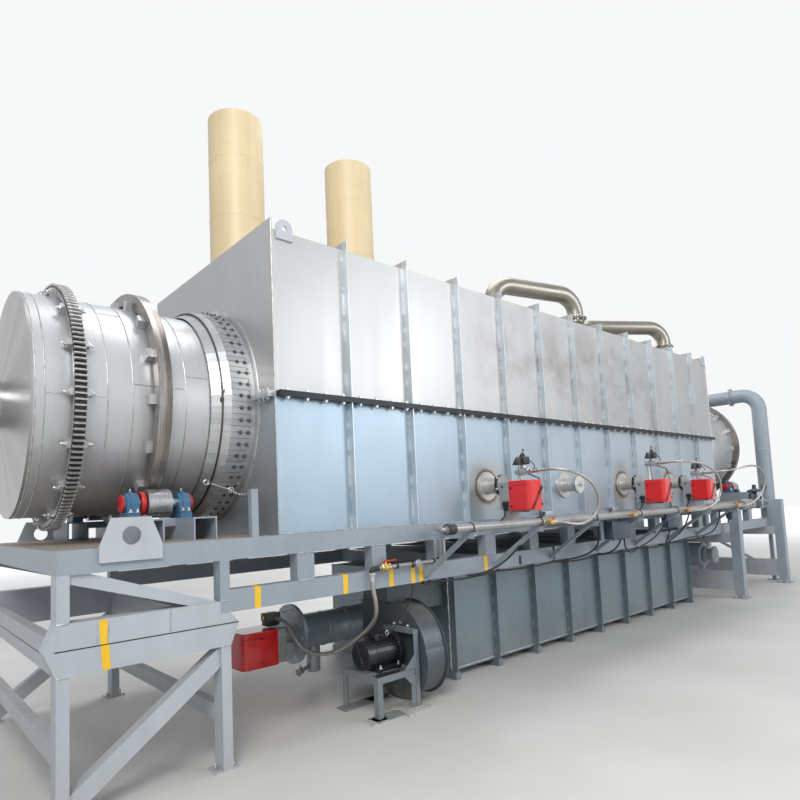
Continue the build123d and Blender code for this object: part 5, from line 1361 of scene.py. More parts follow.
class FURNACE_OT_burner_ports(bpy.types.Operator):
    """Weld beads, packing rings and bolted clamps of the burner ports"""

    bl_idname = "furnace.burner_port_fittings"
    bl_label = "Burner port fittings"

    def execute(self, context):
        tube_radius, flange_radius = 0.075, 0.135
        beads, packing, clamps, screws = [], [], [], []
        for k, x in enumerate(port_xs):
            for radius, y in ((flange_radius + 0.002, near_y), (tube_radius + 0.002, port_flange_y)):
                beads.append(ring_bead((x, y - 0.002, port_z), 1, radius, 90, 0.0045))
            packing.append(stood(collar(tube_radius - 0.004, tube_radius + 0.006, 0.016, 40),
                                 (x, port_mouth + 0.018, port_z), NEAR))
            if k in lit_ports:
                clamps.append(stood(collar(0.080, 0.103, 0.030, 36), (x, port_mouth - 0.004, port_z), NEAR))
                for degrees in (20, 140, 200, 260, 320):
                    lug = np.array([x + 0.104 * math.cos(math.radians(degrees)), port_mouth - 0.019,
                                    port_z + 0.104 * math.sin(math.radians(degrees))])
                    clamps.append(slab(lug - 0.012, lug + 0.012, 0.003))
                    screws.append(stood(bolt(0.016, 0.010), lug - [0, 0.012, 0], NEAR))
            else:
                screws.append(stood(nut(0.022, 0.016), (x, port_mouth - 0.060, port_z), NEAR))
                screws.append(stood(collar(0.092, 0.0955, 0.036, 40), (x, port_mouth - 0.002, port_z), NEAR))
        make_piece("port_welds", beads, "weld_metal")
        make_piece("port_packing", packing, "packing_rope")
        make_piece("port_clamps", clamps, "valve_black")
        make_piece("port_screws", screws, "zinc")
        return {"FINISHED"}


class FURNACE_OT_burners(bpy.types.Operator):
    """Cover seams and screws, body bolts, air slots, plugs and leads of the burners"""

    bl_idname = "furnace.burner_fittings"
    bl_label = "Burner fittings"

    def execute(self, context):
        half = 0.1075
        seams, screws, slots, plugs, wires = [], [], [], [], []
        for k in lit_ports:
            x, low = port_xs[k], cover_top - 0.273
            for z in (cover_top - 0.045, low + 0.012):
                seams.append(slab((x - half - 0.0012, cover_y + 0.010, z - 0.0012),
                                  (x + half + 0.0012, body_y - 0.062, z + 0.0012), 0.0005))
            screws.append(((x + 0.070, cover_y - 0.0005, low + 0.050), NEAR))
            screws += [((x + side * (half + 0.0005), body_y - 0.085, z), (side, 0, 0)) for side in (-1, 1)
                       for z in (low + 0.040, cover_top - 0.070)]
            for step in range(9):
                y = cover_y + 0.030 + step * 0.022
                slots.append(slab((x - 0.080, y, low - 0.016), (x + 0.080, y + 0.008, low + 0.004), 0.002))
            for z in (low + 0.055, cover_top - 0.050):
                for side in (-1, 1):
                    screws.append(((x + side * 0.098, body_y + 0.020, z), (side, 0, 0)))
            plug = np.array([x - 0.100, body_y - 0.020, low + 0.062])
            plugs.append(slab(plug - [0.032, 0.026, 0.024], plug + [0.004, 0.026, 0.024], 0.006, 2))
            plugs.append(slab(plug - [0.030, 0.022, 0.062], plug + [-0.004, 0.018, -0.020], 0.006, 2))
            wires.append(tube([plug + [-0.018, 0, -0.055], plug + [-0.022, 0.01, -0.110],
                               plug + [-0.060, 0.05, -0.172], plug + [-0.300, 0.10, -0.172]], 0.0065, 0.025))
            wires.append(tube([(x + 0.060, cover_y + 0.020, low - 0.010),
                               (x + 0.010, cover_y - 0.012, low - 0.060),
                               (x - 0.120, cover_y + 0.010, low - 0.100),
                               (x - 0.220, cover_y + 0.060, low - 0.132)], 0.0065, 0.03))
        chamber_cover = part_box("burner_covers")
        left = chamber_cover[0].x
        for y in (-0.151, 0.151):
            seams.append(slab((left + 0.010, y - 0.0012, 0.546), (left + 0.290, y + 0.0012, 0.549), 0.0005))
        screws += [((left + 0.180, -0.1505, z), NEAR) for z in (0.340, 0.540)]
        for step in range(6):
            z = 0.345 + 0.030 * step
            slots.append(slab((left + 0.345, -0.146, z), (left + 0.425, -0.136, z + 0.010), 0.002))
        make_piece("cover_seams", seams, "valve_black")
        make_piece("burner_screws",
                   [placed(bolt(0.012), np.concatenate([stand_on([at], out) for at, out in screws]))],
                   "black_bolt")
        make_piece("burner_air_slots", slots, "cast_grey")
        make_piece("burner_plugs", plugs, "valve_black")
        make_piece("burner_leads", wires, "cable_rubber")
        return {"FINISHED"}


class FURNACE_OT_gas_valves(bpy.types.Operator):
    """The burners' gas valves: pipe, pale body, black coil box with its dome, pressure switch and wires"""

    bl_idname = "furnace.gas_valves"
    bl_label = "Gas valves"

    def execute(self, context):
        pipes, bodies, coils, wires, unions = [], [], [], [], []
        mid = body_y
        for k, z in zip(lit_ports, valve_zs):
            x = port_xs[k] + 0.150
            low = cover_top - 0.040
            pipes.append(tube([(port_xs[k] + 0.0975, mid, low), (x, mid, low), (x, mid, z)], 0.014, 0.030,
                              16))
            pipes.append(stood(nut(0.021, 0.020), (x, mid, z - 0.062), UP))
            back, front = mid + 0.034, mid - 0.126
            bodies.append(slab((x - 0.030, front + 0.012, z - 0.030), (x + 0.030, back - 0.012, z + 0.030),
                               0.012, 3))
            for y, out in ((front + 0.030, NEAR), (back - 0.030, FAR)):
                bodies.append(stood(nut(0.036, 0.030), (x, y, z), out))
            bodies.append(stood(collar(0.004, 0.026, 0.010, 20), (x, mid - 0.046, z - 0.030), DOWN))
            unions.append(stood(nut(0.027, 0.026), (x, front - 0.004, z), NEAR))
            unions.append(stood(collar(0.010, 0.022, 0.082, 20), (x, front - 0.026, z), NEAR))
            middle = mid - 0.046
            bodies.append(slab((x - 0.022, middle - 0.022, z + 0.026),
                               (x + 0.022, middle + 0.022, z + 0.064), 0.004))
            coils.append(slab((x - 0.050, middle - 0.050, z + 0.064), (x + 0.050, middle + 0.050, z + 0.138),
                              0.010, 3))
            coils.append(stood(turned([(0, 0), (0.031, 0), (0.026, 0.018), (0.012, 0.040), (0, 0.042)], 24),
                               (x, middle, z + 0.137), UP))
            coils.append(stood(turned([(0, 0), (0.003, 0), (0.003, 0.020), (0.011, 0.024), (0.011, 0.034),
                                       (0, 0.038)], 14), (x + 0.010, middle, z + 0.176), (0.25, 0, 1)))
            bodies.append(tube([(x - 0.052, middle + 0.01, z + 0.120), (x - 0.045, middle, z + 0.165),
                                (x + 0.030, middle, z + 0.168), (x + 0.056, middle - 0.01, z + 0.110),
                                (x + 0.052, middle - 0.01, z + 0.030)], 0.004, 0.018, 8))
            switch = np.array([x - 0.088, middle, z + 0.078])
            coils.append(stood(prism([(-0.036, -0.020), (0.036, -0.020), (0.036, 0.052), (-0.006, 0.030)],
                                     0.060, 0.004), switch + [0, 0.030, 0], NEAR, OUTLET))
            wires.append(tube([(x - 0.090, middle - 0.02, z + 0.058), (x - 0.100, middle - 0.02, z + 0.010),
                               (x - 0.104, mid - 0.090, low + 0.040)], 0.0028, 0.02, 8))
            for step in (0, 1):
                wires.append(tube([(x - 0.004 + 0.02 * step, front + 0.03, z - 0.028),
                                   (x + 0.012 * step, cover_y + 0.08, z - 0.075),
                                   (x - 0.075 - 0.015 * step, cover_y - 0.010, cover_top - 0.075),
                                   (port_xs[k] - 0.085 + 0.012 * step, cover_y - 0.008, cover_top - 0.262),
                                   (port_xs[k] - 0.098, cover_y + 0.090, cover_top - 0.285)], 0.0042, 0.03,
                                  8))
            wires.append(tube([(x + 0.052, middle - 0.045, z + 0.100),
                               (x + 0.078, middle - 0.075, z + 0.060),
                               (x + 0.060, middle - 0.085, z - 0.010), (x + 0.010, front + 0.03, z - 0.036)],
                              0.0042, 0.02, 8))
        make_piece("valve_pipes", pipes, "zinc", replaces=("gas_trains",))
        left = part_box("burner_covers")[0].x
        low_x, low_z = left + 0.355, 0.615
        low_valve = [slab((low_x - 0.075, -0.055, low_z + 0.036), (low_x + 0.075, 0.055, low_z + 0.110),
                          0.014, 3),
                     stood(collar(0.004, 0.022, 0.022, 20), (left + 0.385, -0.053, low_z + 0.055), NEAR),
                     stood(nut(0.027, 0.012), (left + 0.385, -0.056, low_z + 0.055), NEAR),
                     stood(collar(0.004, 0.030, 0.012, 24), (low_x + 0.074, 0, low_z + 0.072), OUTLET)]
        make_piece("low_valve_body", low_valve, "valve_olive")
        brass = [stood(nut(0.016, 0.016), (low_x - 0.075, -0.030, low_z + 0.078), INLET),
                 stood(nut(0.012, 0.014), (low_x - 0.040, -0.020, low_z + 0.110), UP)]
        make_piece("low_valve_plugs", brass, "brass")
        coils.append(slab((low_x - 0.065, -0.050, low_z - 0.004), (low_x + 0.065, 0.050, low_z + 0.045),
                          0.006, 2))
        pipes = [tube([(left + 0.385, 0, 0.586), (left + 0.385, 0, low_z + 0.030)], 0.014, sides=16)]
        make_piece("low_valve_pipe", pipes, "zinc")
        make_piece("valve_bodies", bodies, "valve_alloy")
        make_piece("valve_coils", coils, "valve_black")
        make_piece("valve_unions", unions, "zinc")
        make_piece("valve_wires", wires, "cable_rubber")
        return {"FINISHED"}


class FURNACE_OT_gas_line(bpy.types.Operator):
    """Brass taps, pipe clamps and welds on the gas header, and the shut-off group at its end"""

    bl_idname = "furnace.gas_line_fittings"
    bl_label = "Gas line fittings"

    def execute(self, context):
        brass, handles, clamps, beads = [], [], [], []
        for x in tap_xs + [casing_x0 + 3.849]:
            z = header_z - 0.005
            brass.append(stood(turned([(0, 0), (0.017, 0), (0.017, 0.014), (0.0135, 0.016), (0.0135, 0.052),
                                       (0, 0.052)], 8), (x, header_y - header_radius + 0.004, z), NEAR))
            brass.append(stood(turned([(0, 0), (0.024, 0.001), (0.024, 0.018), (0.021, 0.021),
                                       (0.0225, 0.030), (0.0225, 0.046), (0.021, 0.053), (0.024, 0.056),
                                       (0.024, 0.074), (0, 0.075)], 16), (x - 0.0375, tap_y, z), OUTLET))
            brass.append(stood(collar(0.002, 0.009, 0.016, 12), (x, tap_y, z + 0.020), UP))
            handles.append(slab((x - 0.012, tap_y - 0.010, z + 0.036), (x + 0.068, tap_y + 0.010, z + 0.041),
                                0.0025, 2))
            handles.append(slab((x + 0.030, tap_y - 0.012, z + 0.033), (x + 0.070, tap_y + 0.012, z + 0.045),
                                0.005, 2))
            beads.append(ring_bead((x, header_y - header_radius + 0.002, z), 1, 0.019, 40, 0.003))
        for x in arm_xs:
            arc = np.linspace(-0.35, math.pi + 0.35, 22)
            path = points_at(x + 0.025, header_y + 0.0385 * np.cos(arc), header_z + 0.0385 * np.sin(arc))
            clamps.append(swept(path, circle(0.0042, 8), up=OUTLET))
            clamps += [stood(bolt(0.014, 0.012),
                             (x + 0.025, header_y + side * 0.040, header_z - header_radius), UP)
                       for side in (-1, 1)]
        end_band = stood(collar(header_radius - 0.001, header_radius + 0.0085, 0.080),
                         (casing_x0 + 1.098, header_y, header_z), OUTLET)
        make_piece("header_end_band", [end_band], "valve_black")
        for x in (casing_x0 + 1.175, casing_x0 + 3.10, casing_x0 + 5.55):
            beads.append(ring_bead((x, header_y, header_z), 0, header_radius, 60, 0.0038))
        make_piece("header_taps", brass, "brass")
        make_piece("tap_handles", handles, "guard_red")
        make_piece("header_clamps", clamps, "black_bolt")
        make_piece("header_welds", beads, "weld_metal")
        self.shut_off_group()
        self.drop_line()
        return {"FINISHED"}

    @staticmethod
    def shut_off_group():
        """Flanges, a round strainer, a dark valve with a regulator and a lever, all on the header's axis."""
        def on_axis(x):
            return stand_on([(x, header_y, header_z)], OUTLET)

        x = header_x1
        pale, dark, bolts = [], [], []
        for start in (x, x + 0.150, x + 0.300, x + 0.640):
            pale.append(placed(collar(0.010, 0.074, 0.018, 36), on_axis(start)))
            pale.append(placed(collar(0.010, 0.074, 0.018, 36), on_axis(start + 0.021)))
            ring = ring_places((start + 0.018, header_y, header_z), OUTLET, 0.058, 8)
            bolts.append(placed(rod(0.008, 0.030, 6, -0.026), ring))
        pale.append(placed(turned([(0, 0), (0.035, 0), (0.060, 0.030), (0.066, 0.060), (0.060, 0.090),
                                   (0.035, 0.118), (0, 0.118)], 28), on_axis(x + 0.035)))
        pale.append(placed(rod(0.034, 0.115, 24), on_axis(x + 0.188)))
        pale.append(stood(nut(0.026, 0.020), (x + 0.094, header_y, header_z + 0.062), UP))
        dark.append(slab((x + 0.345, header_y - 0.062, header_z - 0.058),
                         (x + 0.470, header_y + 0.062, header_z + 0.062), 0.02, 3))
        dark.append(slab((x + 0.500, header_y - 0.062, header_z - 0.058),
                         (x + 0.630, header_y + 0.062, header_z + 0.062), 0.02, 3))
        dark.append(placed(rod(0.036, 0.160, 24), on_axis(x + 0.480)))
        for at, tall in ((x + 0.408, 0.105), (x + 0.565, 0.150)):
            dark.append(stood(turned([(0, 0), (0.034, 0), (0.034, tall - 0.02), (0.026, tall), (0, tall)],
                                     24), (at, header_y, header_z + 0.055), UP))
        dark.append(stood(turned([(0, 0), (0.095, 0), (0.100, 0.008), (0.100, 0.020), (0.090, 0.032),
                                  (0.030, 0.052), (0.026, 0.110), (0, 0.112)], 36),
                          (x + 0.565, header_y, header_z + 0.175), UP))
        dark.append(tube([(x + 0.658, header_y, header_z), (x + 1.020, header_y, header_z)], 0.030, sides=20))
        dark.append(placed(collar(0.010, 0.046, 0.100, 24), on_axis(x + 0.760)))
        dark.append(stood(rod(0.014, 0.075, 12), (x + 0.810, header_y, header_z + 0.035), UP))
        dark.append(slab((x + 0.790, header_y - 0.012, header_z + 0.098),
                         (x + 1.030, header_y + 0.012, header_z + 0.108), 0.004, 2))
        make_piece("strainer_group", pale, "cast_grey")
        make_piece("shut_off_valves", dark, "valve_blue")
        make_piece("shut_off_bolts", bolts, "zinc")

    @staticmethod
    def drop_line():
        """Nuts, elbows and the lever of the thin line to the low burner, with its rail clip."""
        y, z = rail_y - 0.040, 1.155
        dark, brass = [], []
        valve_x = casing_x0 + 0.898
        for x in (valve_x - 0.046, valve_x + 0.024):
            brass.append(stood(nut(0.031, 0.022), (x, y, z), OUTLET))
        brass.append(stood(turned([(0, 0), (0.0275, 0), (0.032, 0.012), (0.032, 0.038), (0.0275, 0.050),
                                   (0, 0.050)], 20), (valve_x - 0.025, y, z), OUTLET))
        brass.append(stood(collar(0.002, 0.012, 0.020, 14), (valve_x, y, z + 0.026), UP))
        union_x = casing_x0 + 1.235
        pale = [stood(collar(0.004, 0.033, 0.024, 24), (union_x, y - 0.010, z), NEAR),
                stood(nut(0.017, 0.014), (union_x, y - 0.032, z), NEAR)]
        make_piece("drop_line_union", pale, "cast_grey")
        for x in (casing_x0 + 1.000, casing_x0 + 1.420):
            dark.append(stood(nut(0.025, 0.026), (x, y, z), OUTLET))
        corner = (casing_x0 + 0.755, y, z)
        dark.append(tube([(corner[0] + 0.050, y, z), corner, (corner[0], y, z - 0.052)], 0.0215, 0.030, 16))
        dark.append(stood(nut(0.026, 0.018), (corner[0] + 0.048, y, z), OUTLET))
        lever = slab((valve_x - 0.018, y - 0.0105, z + 0.0425), (valve_x + 0.112, y + 0.0105, z + 0.0560),
                     0.004, 2)
        make_piece("drop_line_lever", [lever], "guard_red")
        for x in (casing_x0 + 1.180, casing_x0 + 1.480):
            arc = np.linspace(-math.pi / 2, math.pi / 2, 14)
            path = points_at(x, y - 0.020 * np.cos(arc), z + 0.020 * np.sin(arc))
            dark.append(swept(path, slab_section(0.020, 0.004), up=OUTLET))
        make_piece("drop_line_fittings", dark, "valve_black")
        make_piece("drop_line_nuts", brass, "brass")


def slab_section(width, height):
    """A flat bar's section with cut corners."""
    a, b, c = width / 2, height / 2, min(width, height) * 0.2
    return np.array([(a, -b + c), (a, b - c), (a - c, b), (c - a, b), (-a, b - c), (-a, c - b), (c - a, -b),
                     (a - c, -b)])


class FURNACE_OT_chamber(bpy.types.Operator):
    """Bolts and welds of the combustion chamber, and the drain valve on its stub"""

    bl_idname = "furnace.chamber_fittings"
    bl_label = "Chamber fittings"

    def execute(self, context):
        bolts, beads, drain = [], [], []
        head = bolt(0.020, 0.008)
        for radius, x, way, count in ((0.215, chamber_x0 - 0.020, -1, 12), (0.205, chamber_x0, 1, 12)):
            bolts.append(placed(head, ring_places((x, 0, chamber_z), (way, 0, 0), radius, count, 0.2)))
        for x, radius in ((chamber_x0 + 0.001, 0.161), (chamber_x0 + 0.558, 0.162),
                          (chamber_x0 + 0.602, 0.162), (chamber_x0 + 0.330, 0.160),
                          (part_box("lower_box")[0].x - 0.001, 0.161), (chamber_x0 - 0.021, 0.079)):
            beads.append(ring_bead((x, 0, chamber_z), 0, radius, 90, 0.004))
        seam = np.radians(-125)
        y, z = 0.160 * math.cos(seam), chamber_z + 0.160 * math.sin(seam)
        beads.append(bead(line((chamber_x0 + 0.01, y, z), (chamber_x0 + 0.55, y, z), 110), 0.004))
        stub_x = casing_x0 + 1.010
        pipe = [(stub_x - 0.050, -0.010, 0.175), (stub_x - 0.160, -0.050, 0.165),
                (stub_x - 0.215, -0.070, 0.150)]
        drain.append(tube(pipe, 0.018, 0.04, 14))
        out = np.array(pipe[2]) - np.array(pipe[1])
        drain.append(stood(collar(0.004, 0.034, 0.012, 20), pipe[1], out))
        drain.append(stood(collar(0.004, 0.034, 0.012, 20), np.array(pipe[2]) - 0.2 * out, out))
        drain.append(stood(turned([(0, 0), (0.008, 0), (0.008, 0.050), (0.016, 0.056), (0, 0.060)], 12),
                           np.array(pipe[1]) + 0.4 * out, UP))
        drain.append(stood(collar(0.020, 0.068, 0.010, 32), (stub_x, 0, 0.119), UP))
        make_piece("chamber_bolts", bolts, "zinc")
        make_piece("chamber_welds", beads, "weld_metal")
        make_piece("chamber_drain", drain, "cast_grey")
        return {"FINISHED"}


class FURNACE_OT_fan(bpy.types.Operator):
    """The fan motor's grille, eye, terminal box, feet and cable, and the stand's gussets and grout"""

    bl_idname = "furnace.fan_fittings"
    bl_label = "Fan fittings"

    def execute(self, context):
        radius, length = 0.115, 0.380
        x1 = fan_x0 - 0.060
        x0 = x1 - length
        fan_x1 = fan_x0 + 0.240

        def on_axis(x, way=1):
            return stand_on([(x, fan_y, fan_z)], (way, 0, 0), UP)

        motor = [placed(turned([(0.020, 0), (radius - 0.014, 0), (radius + 0.001, 0.016),
                                (radius + 0.001, 0.074), (radius - 0.004, 0.080), (0.020, 0.080)], 48),
                        on_axis(x0 - 0.001))]
        for step in range(5):
            inner = 0.022 + 0.016 * step
            motor.append(placed(collar(inner, inner + 0.007, 0.004, 40), on_axis(x0 - 0.005)))
        for step in range(6):
            turn = step * math.pi / 6
            out = np.array([0, math.cos(turn), math.sin(turn)])
            middle = np.array([x0 - 0.003, fan_y, fan_z])
            motor.append(swept([middle - 0.094 * out, middle + 0.094 * out], circle(0.0025, 6), up=OUTLET))
        for x in (x1 - 0.054, x0 + 0.082):
            motor.append(placed(collar(0.040, radius + 0.005, 0.010, 48), on_axis(x)))
        box_x = x0 + 0.165
        for half, low, high in ((0.047, -0.006, 0.032), (0.051, 0.028, 0.039)):
            motor.append(slab((box_x - half, fan_y - half, fan_z + radius + low),
                              (box_x + half, fan_y + half, fan_z + radius + high), 0.006, 3))
        gland = np.array([box_x + 0.020, fan_y - 0.047, fan_z + radius + 0.012])
        motor.append(stood(nut(0.015, 0.022), gland, NEAR))
        for x in (x0 + 0.105, x1 - 0.085):
            for side in (-1, 1):
                y = fan_y + side * 0.100
                motor.append(slab((x - 0.026, y - 0.030, fan_z - radius - 0.014),
                                  (x + 0.026, y + 0.030, fan_z - radius + 0.018), 0.006, 2))
        make_piece("motor_details", motor, "motor_black")
        bright = []
        for x in (x0 + 0.105, x1 - 0.085):
            bright.append(stood(bolt(0.018, 0.012),
                                [(x, fan_y + side * 0.118, fan_z - radius + 0.018) for side in (-1, 1)], UP))
        eye = ring_path((x0 + 0.285, fan_y, fan_z + radius + 0.024), 1, 0.017, 24)
        bright.append(swept(eye, circle(0.0055, 8), up=FAR, closed=True))
        bright.append(stood(turned([(0, 0), (0.012, 0), (0.009, 0.010), (0, 0.010)], 16),
                            (x0 + 0.285, fan_y, fan_z + radius), UP))
        bright.append(placed(rod(0.026, 0.050, 28), on_axis(x1 + 0.006)))
        bright.append(placed(bolt(0.016, 0.006),
                             ring_places((fan_x0 - 0.0005, fan_y, fan_z), INLET, 0.200, 14, 0.1)))
        bright.append(placed(bolt(0.016, 0.006),
                             ring_places((fan_x1 + 0.0605, fan_y, fan_z), OUTLET, 0.140, 10)))
        make_piece("fan_bolts", bright, "zinc")
        self.stand(x0, x1)
        cable = [gland + [0, -0.018, 0], gland + [0.004, -0.060, 0.004], gland + [0.070, -0.085, 0.070],
                 gland + [0.170, -0.100, 0.180], gland + [0.255, -0.110, 0.300],
                 gland + [0.275, -0.110, 0.400]]
        make_piece("motor_cable", [swept(eased(cable), circle(0.0055, 8), up=(0.2, 1, 0.1))], "cable_rubber")
        return {"FINISHED"}

    @staticmethod
    def stand(x0, x1):
        """Gussets, the upright that carries the fan, and rough beds of grout with broken edges."""
        low, high = fan_y - 0.230, fan_y + 0.230
        top = fan_z - 0.130
        steel = [slab((x1 - 0.006, low, 0.010), (x1 + 0.050, low + 0.006, top + 0.300), 0.001),
                 slab((x1 + 0.044, low, 0.010), (x1 + 0.050, low + 0.050, top + 0.300), 0.001),
                 slab((x1 + 0.006, low + 0.006, top + 0.262), (x1 + 0.059, high - 0.060, top + 0.300), 0.001)]
        for profile, x, z in (([(0, 0), (0.130, 0), (0.130, 0.130)], x1 - 0.122, top),
                              ([(0, 0), (-0.110, 0), (0, -0.110)], x1 - 0.010, top - 0.050)):
            steel.append(stood(prism(profile, 0.006), (x, low - 0.001, z), NEAR, OUTLET))
        make_piece("fan_upright", steel, "stand_grey")
        turn = full_turn(72)

        def bed(x, y, half_x, half_y, rise):
            wave = 1 + 0.10 * np.sin(5 * turn + 1.0) + 0.06 * np.sin(11 * turn + 2.0)
            wave = wave + 0.04 * np.sin(23 * turn)
            square = np.maximum(np.abs(np.cos(turn)), np.abs(np.sin(turn)))
            edge = np.stack([x + half_x * np.cos(turn) / square * wave,
                             y + half_y * np.sin(turn) / square * wave], -1)
            rows = [(0.0, 0.0), (1.06, 0.0), (1.0, rise * 0.8), (0.9, rise), (0.0, rise)]
            middle = np.array([x, y])
            points = np.stack([np.concatenate([middle + (edge - middle) * share, np.full((72, 1), z)], 1)
                               for share, z in rows])
            return welded(grid(points, around=True))

        make_piece("stand_grout", [bed(x1 - 0.02, low + 0.05, 0.14, 0.13, 0.016),
                                   bed(x0 - 0.02, low + 0.02, 0.085, 0.055, 0.012),
                                   bed(x1 - 0.04, high, 0.12, 0.06, 0.012)], "concrete_grout")


class FURNACE_OT_ducts(bpy.types.Operator):
    """Flange bolts and seams of the roof ducts, chimneys, outlet hood and gas off-take"""

    bl_idname = "furnace.duct_fittings"
    bl_label = "Duct and chimney fittings"

    def execute(self, context):
        bolts, flanges, beads = [], [], []
        feet = self.duct_feet()
        joint_z = roof_z + 0.300
        for x, y in feet:
            flanges.append(stood(collar(0.108, 0.150, 0.014, 40), (x, y, joint_z), UP))
            flanges.append(stood(collar(0.108, 0.150, 0.014, 40), (x, y, joint_z + 0.017), UP))
            stud = rod(0.0085, 0.050, 6, -0.020)
            bolts.append(placed(stud, ring_places((x, y, joint_z), UP, 0.135, 10)))
            beads += [ring_bead((x, y, roof_z + rise), 2, radius, 72, 0.004)
                      for rise, radius in ((0.262, 0.112), (0.380, 0.110))]
            bolts.append(placed(bolt(0.020, 0.008), ring_places((x, y, roof_z + 0.010), UP, 0.285, 16)))
        for name in ("chimney_1", "chimney_2"):
            low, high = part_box(name)
            x, y = (low.x + high.x) / 2, (low.y + high.y) / 2
            bolts.append(placed(bolt(0.022, 0.008), ring_places((x, y, low.z + 0.020), UP, 0.285, 16)))
        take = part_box("gas_take_off")
        x, flange_z, hand_hole_z = (take[0].x + take[1].x) / 2, 3.450, 1.700
        stud = rod(0.010, 0.034, 6, -0.034)
        bolts.append(placed(stud, ring_places((x, -0.700, flange_z), FAR, 0.147, 8)))
        hand_hole = np.array([x - 0.124, near_y, hand_hole_z])
        flanges.append(stood(collar(0.030, 0.052, 0.012, 28), hand_hole + [-0.004, 0, 0], INLET))
        bolts.append(placed(bolt(0.014, 0.004), ring_places(hand_hole + [-0.014, 0, 0], INLET, 0.041, 6)))
        beads += [ring_bead((x, near_y, level), 2, 0.1255, 72, 0.004) for level in (2.400, 1.300)]
        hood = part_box("outlet_hood")
        bolts.append(placed(bolt(0.020, 0.006), ring_places((hood[0].x, 0, drum_z), INLET, 0.415, 20)))
        make_piece("duct_flanges", flanges, "duct_steel")
        make_piece("duct_bolts", bolts, "zinc")
        make_piece("duct_welds", beads, "weld_metal")
        self.cladding()
        return {"FINISHED"}

    @staticmethod
    def duct_feet():
        """Middles of the four duct feet on the roof, in bays from the inlet and metres from the near wall."""
        feet = ((7.5, 0.500), (5.5, 0.850), (11.5, 0.500), (9.5, 1.300))
        return [(casing_x0 + bay * along, near_y + across) for along, across in feet]

    @staticmethod
    def cladding():
        """Lapped seams round and along the chimneys' cream cladding, with their rivets."""
        laps, rivets = [], []
        for name in ("chimney_1", "chimney_2"):
            low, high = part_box(name)
            x, y, radius = (low.x + high.x) / 2, (low.y + high.y) / 2, cladding_radius
            for z in (low.z + 0.560, low.z + 1.120):
                laps.append(stood(turned([(radius, 0), (radius + 0.0018, 0.001), (radius + 0.0018, 0.030),
                                          (radius, 0.032)], 56), (x, y, z), UP))
            laps.append(stood(slab((-0.016, -0.0008, low.z + 0.03), (0.016, 0.0018, high.z - 0.005), 0.0006),
                              (x, y - radius, 0), UP))
            zs = np.arange(low.z + 0.08, high.z - 0.03, 0.10)
            rivets.append(stand_on(points_at(x + 0.010, y - radius - 0.0012, zs), NEAR))
        rivet = turned([(0, -0.001), (0.004, 0), (0.003, 0.002), (0, 0.0026)], 8)
        make_piece("cladding_laps", laps, "cream_cladding")
        make_piece("cladding_rivets", [placed(rivet, np.concatenate(rivets))], "zinc")


class FURNACE_OT_frame_fittings(bpy.types.Operator):
    """Weld beads at the frame's joints, anchor bolts and the yellow tape marks"""

    bl_idname = "furnace.frame_fittings"
    bl_label = "Frame fittings"

    def execute(self, context):
        beads, anchors, tape = [], [], []
        size = context.scene.furnace_sizes.bead_radius * 1.2
        post_width, pitch, upper_rail_low = 0.145, 0.690, 1.331
        posts = np.arange(casing_x0 + 0.107, 5.30, pitch)
        for side in (-1, 1):
            y = side * (abs(rail_y) + 0.0005)
            for x in posts:
                for z in (lower_rail[1], upper_rail_low):
                    beads.append(bead(line((x + 0.004, y, z), (x + post_width - 0.004, y, z), 26), size))
        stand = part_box("inlet_stand_near")
        tip, leg, depth, beam_edges = 0.060, 0.067, 0.125, (0.781, 1.068)
        leg_xs = (stand[0].x + tip, stand[1].x - tip - leg)
        for side in (-1, 1):
            y = side * (abs(stand[0].y) + 0.0005)
            for x in leg_xs:
                for z in beam_edges:
                    beads.append(bead(line((x + 0.004, y, z), (x + leg - 0.004, y, z), 14), size))
                anchors += [(x + leg / 2 + shift, side * (abs(stand[0].y) - depth / 2))
                            for shift in (-0.060, 0.060)]
            for x in portal_xs:
                anchors += [(x + dx, side * portal_y + dy) for dx in (-0.088, 0.088) for dy in (-0.05, 0.05)]
        make_piece("frame_welds", beads, "weld_metal")
        make_piece("anchor_bolts", [stood(bolt(0.022, 0.022), [(x, y, 0.0115) for x, y in anchors], UP)],
                   "zinc")
        half, thick = context.scene.furnace_sizes.tape_width / 2, 0.0009
        low, high = lower_rail
        for x in tape_xs:
            for start, end in (((x - half, rail_y - thick, low - thick), (x + half, rail_y, high + thick)),
                               ((x - half, rail_y - thick, low - thick), (x + half, rail_y + 0.098, low)),
                               ((x - half, rail_y - thick, high), (x + half, rail_y + 0.098, high + thick))):
                tape.append(slab(start, end, 0.0003))
        tape.append(stood(slab((-half, -thick, -0.142), (half, 0, 0.138), 0.0003),
                          (-5.722, stand[0].y, 0.925), (-0.06, 0, 1)))
        make_piece("tape_marks", tape, "tape_yellow")
        joint_z, reach = 0.923, stand[1].x - stand[0].x
        joints, seams = [], []
        for side in (-1, 1):
            y = side * (abs(stand[0].y) + 0.0004)
            joints.append(slab((stand[0].x + 0.052, y - 0.0008, joint_z - 0.0035),
                               (stand[1].x - 0.006, y + 0.0008, joint_z + 0.0035), 0.0006))
            for share, low, high in ((0.235, 0.925, 1.045), (0.285, 0.925, 1.045), (0.60, 0.93, 1.066)):
                x = stand[0].x + share * reach
                seams.append(bead(line((x, y, low), (x + 0.004, y, high), 26), size * 0.8, up=OUTLET))
        x = stand[0].x + 0.0004
        joints.append(slab((x - 0.0008, rail_y + 0.1, joint_z - 0.0035),
                           (x + 0.0008, -rail_y - 0.1, joint_z + 0.0035), 0.0006))
        make_piece("beam_joints", joints, "valve_black")
        make_piece("beam_seams", seams, "weld_metal")
        return {"FINISHED"}


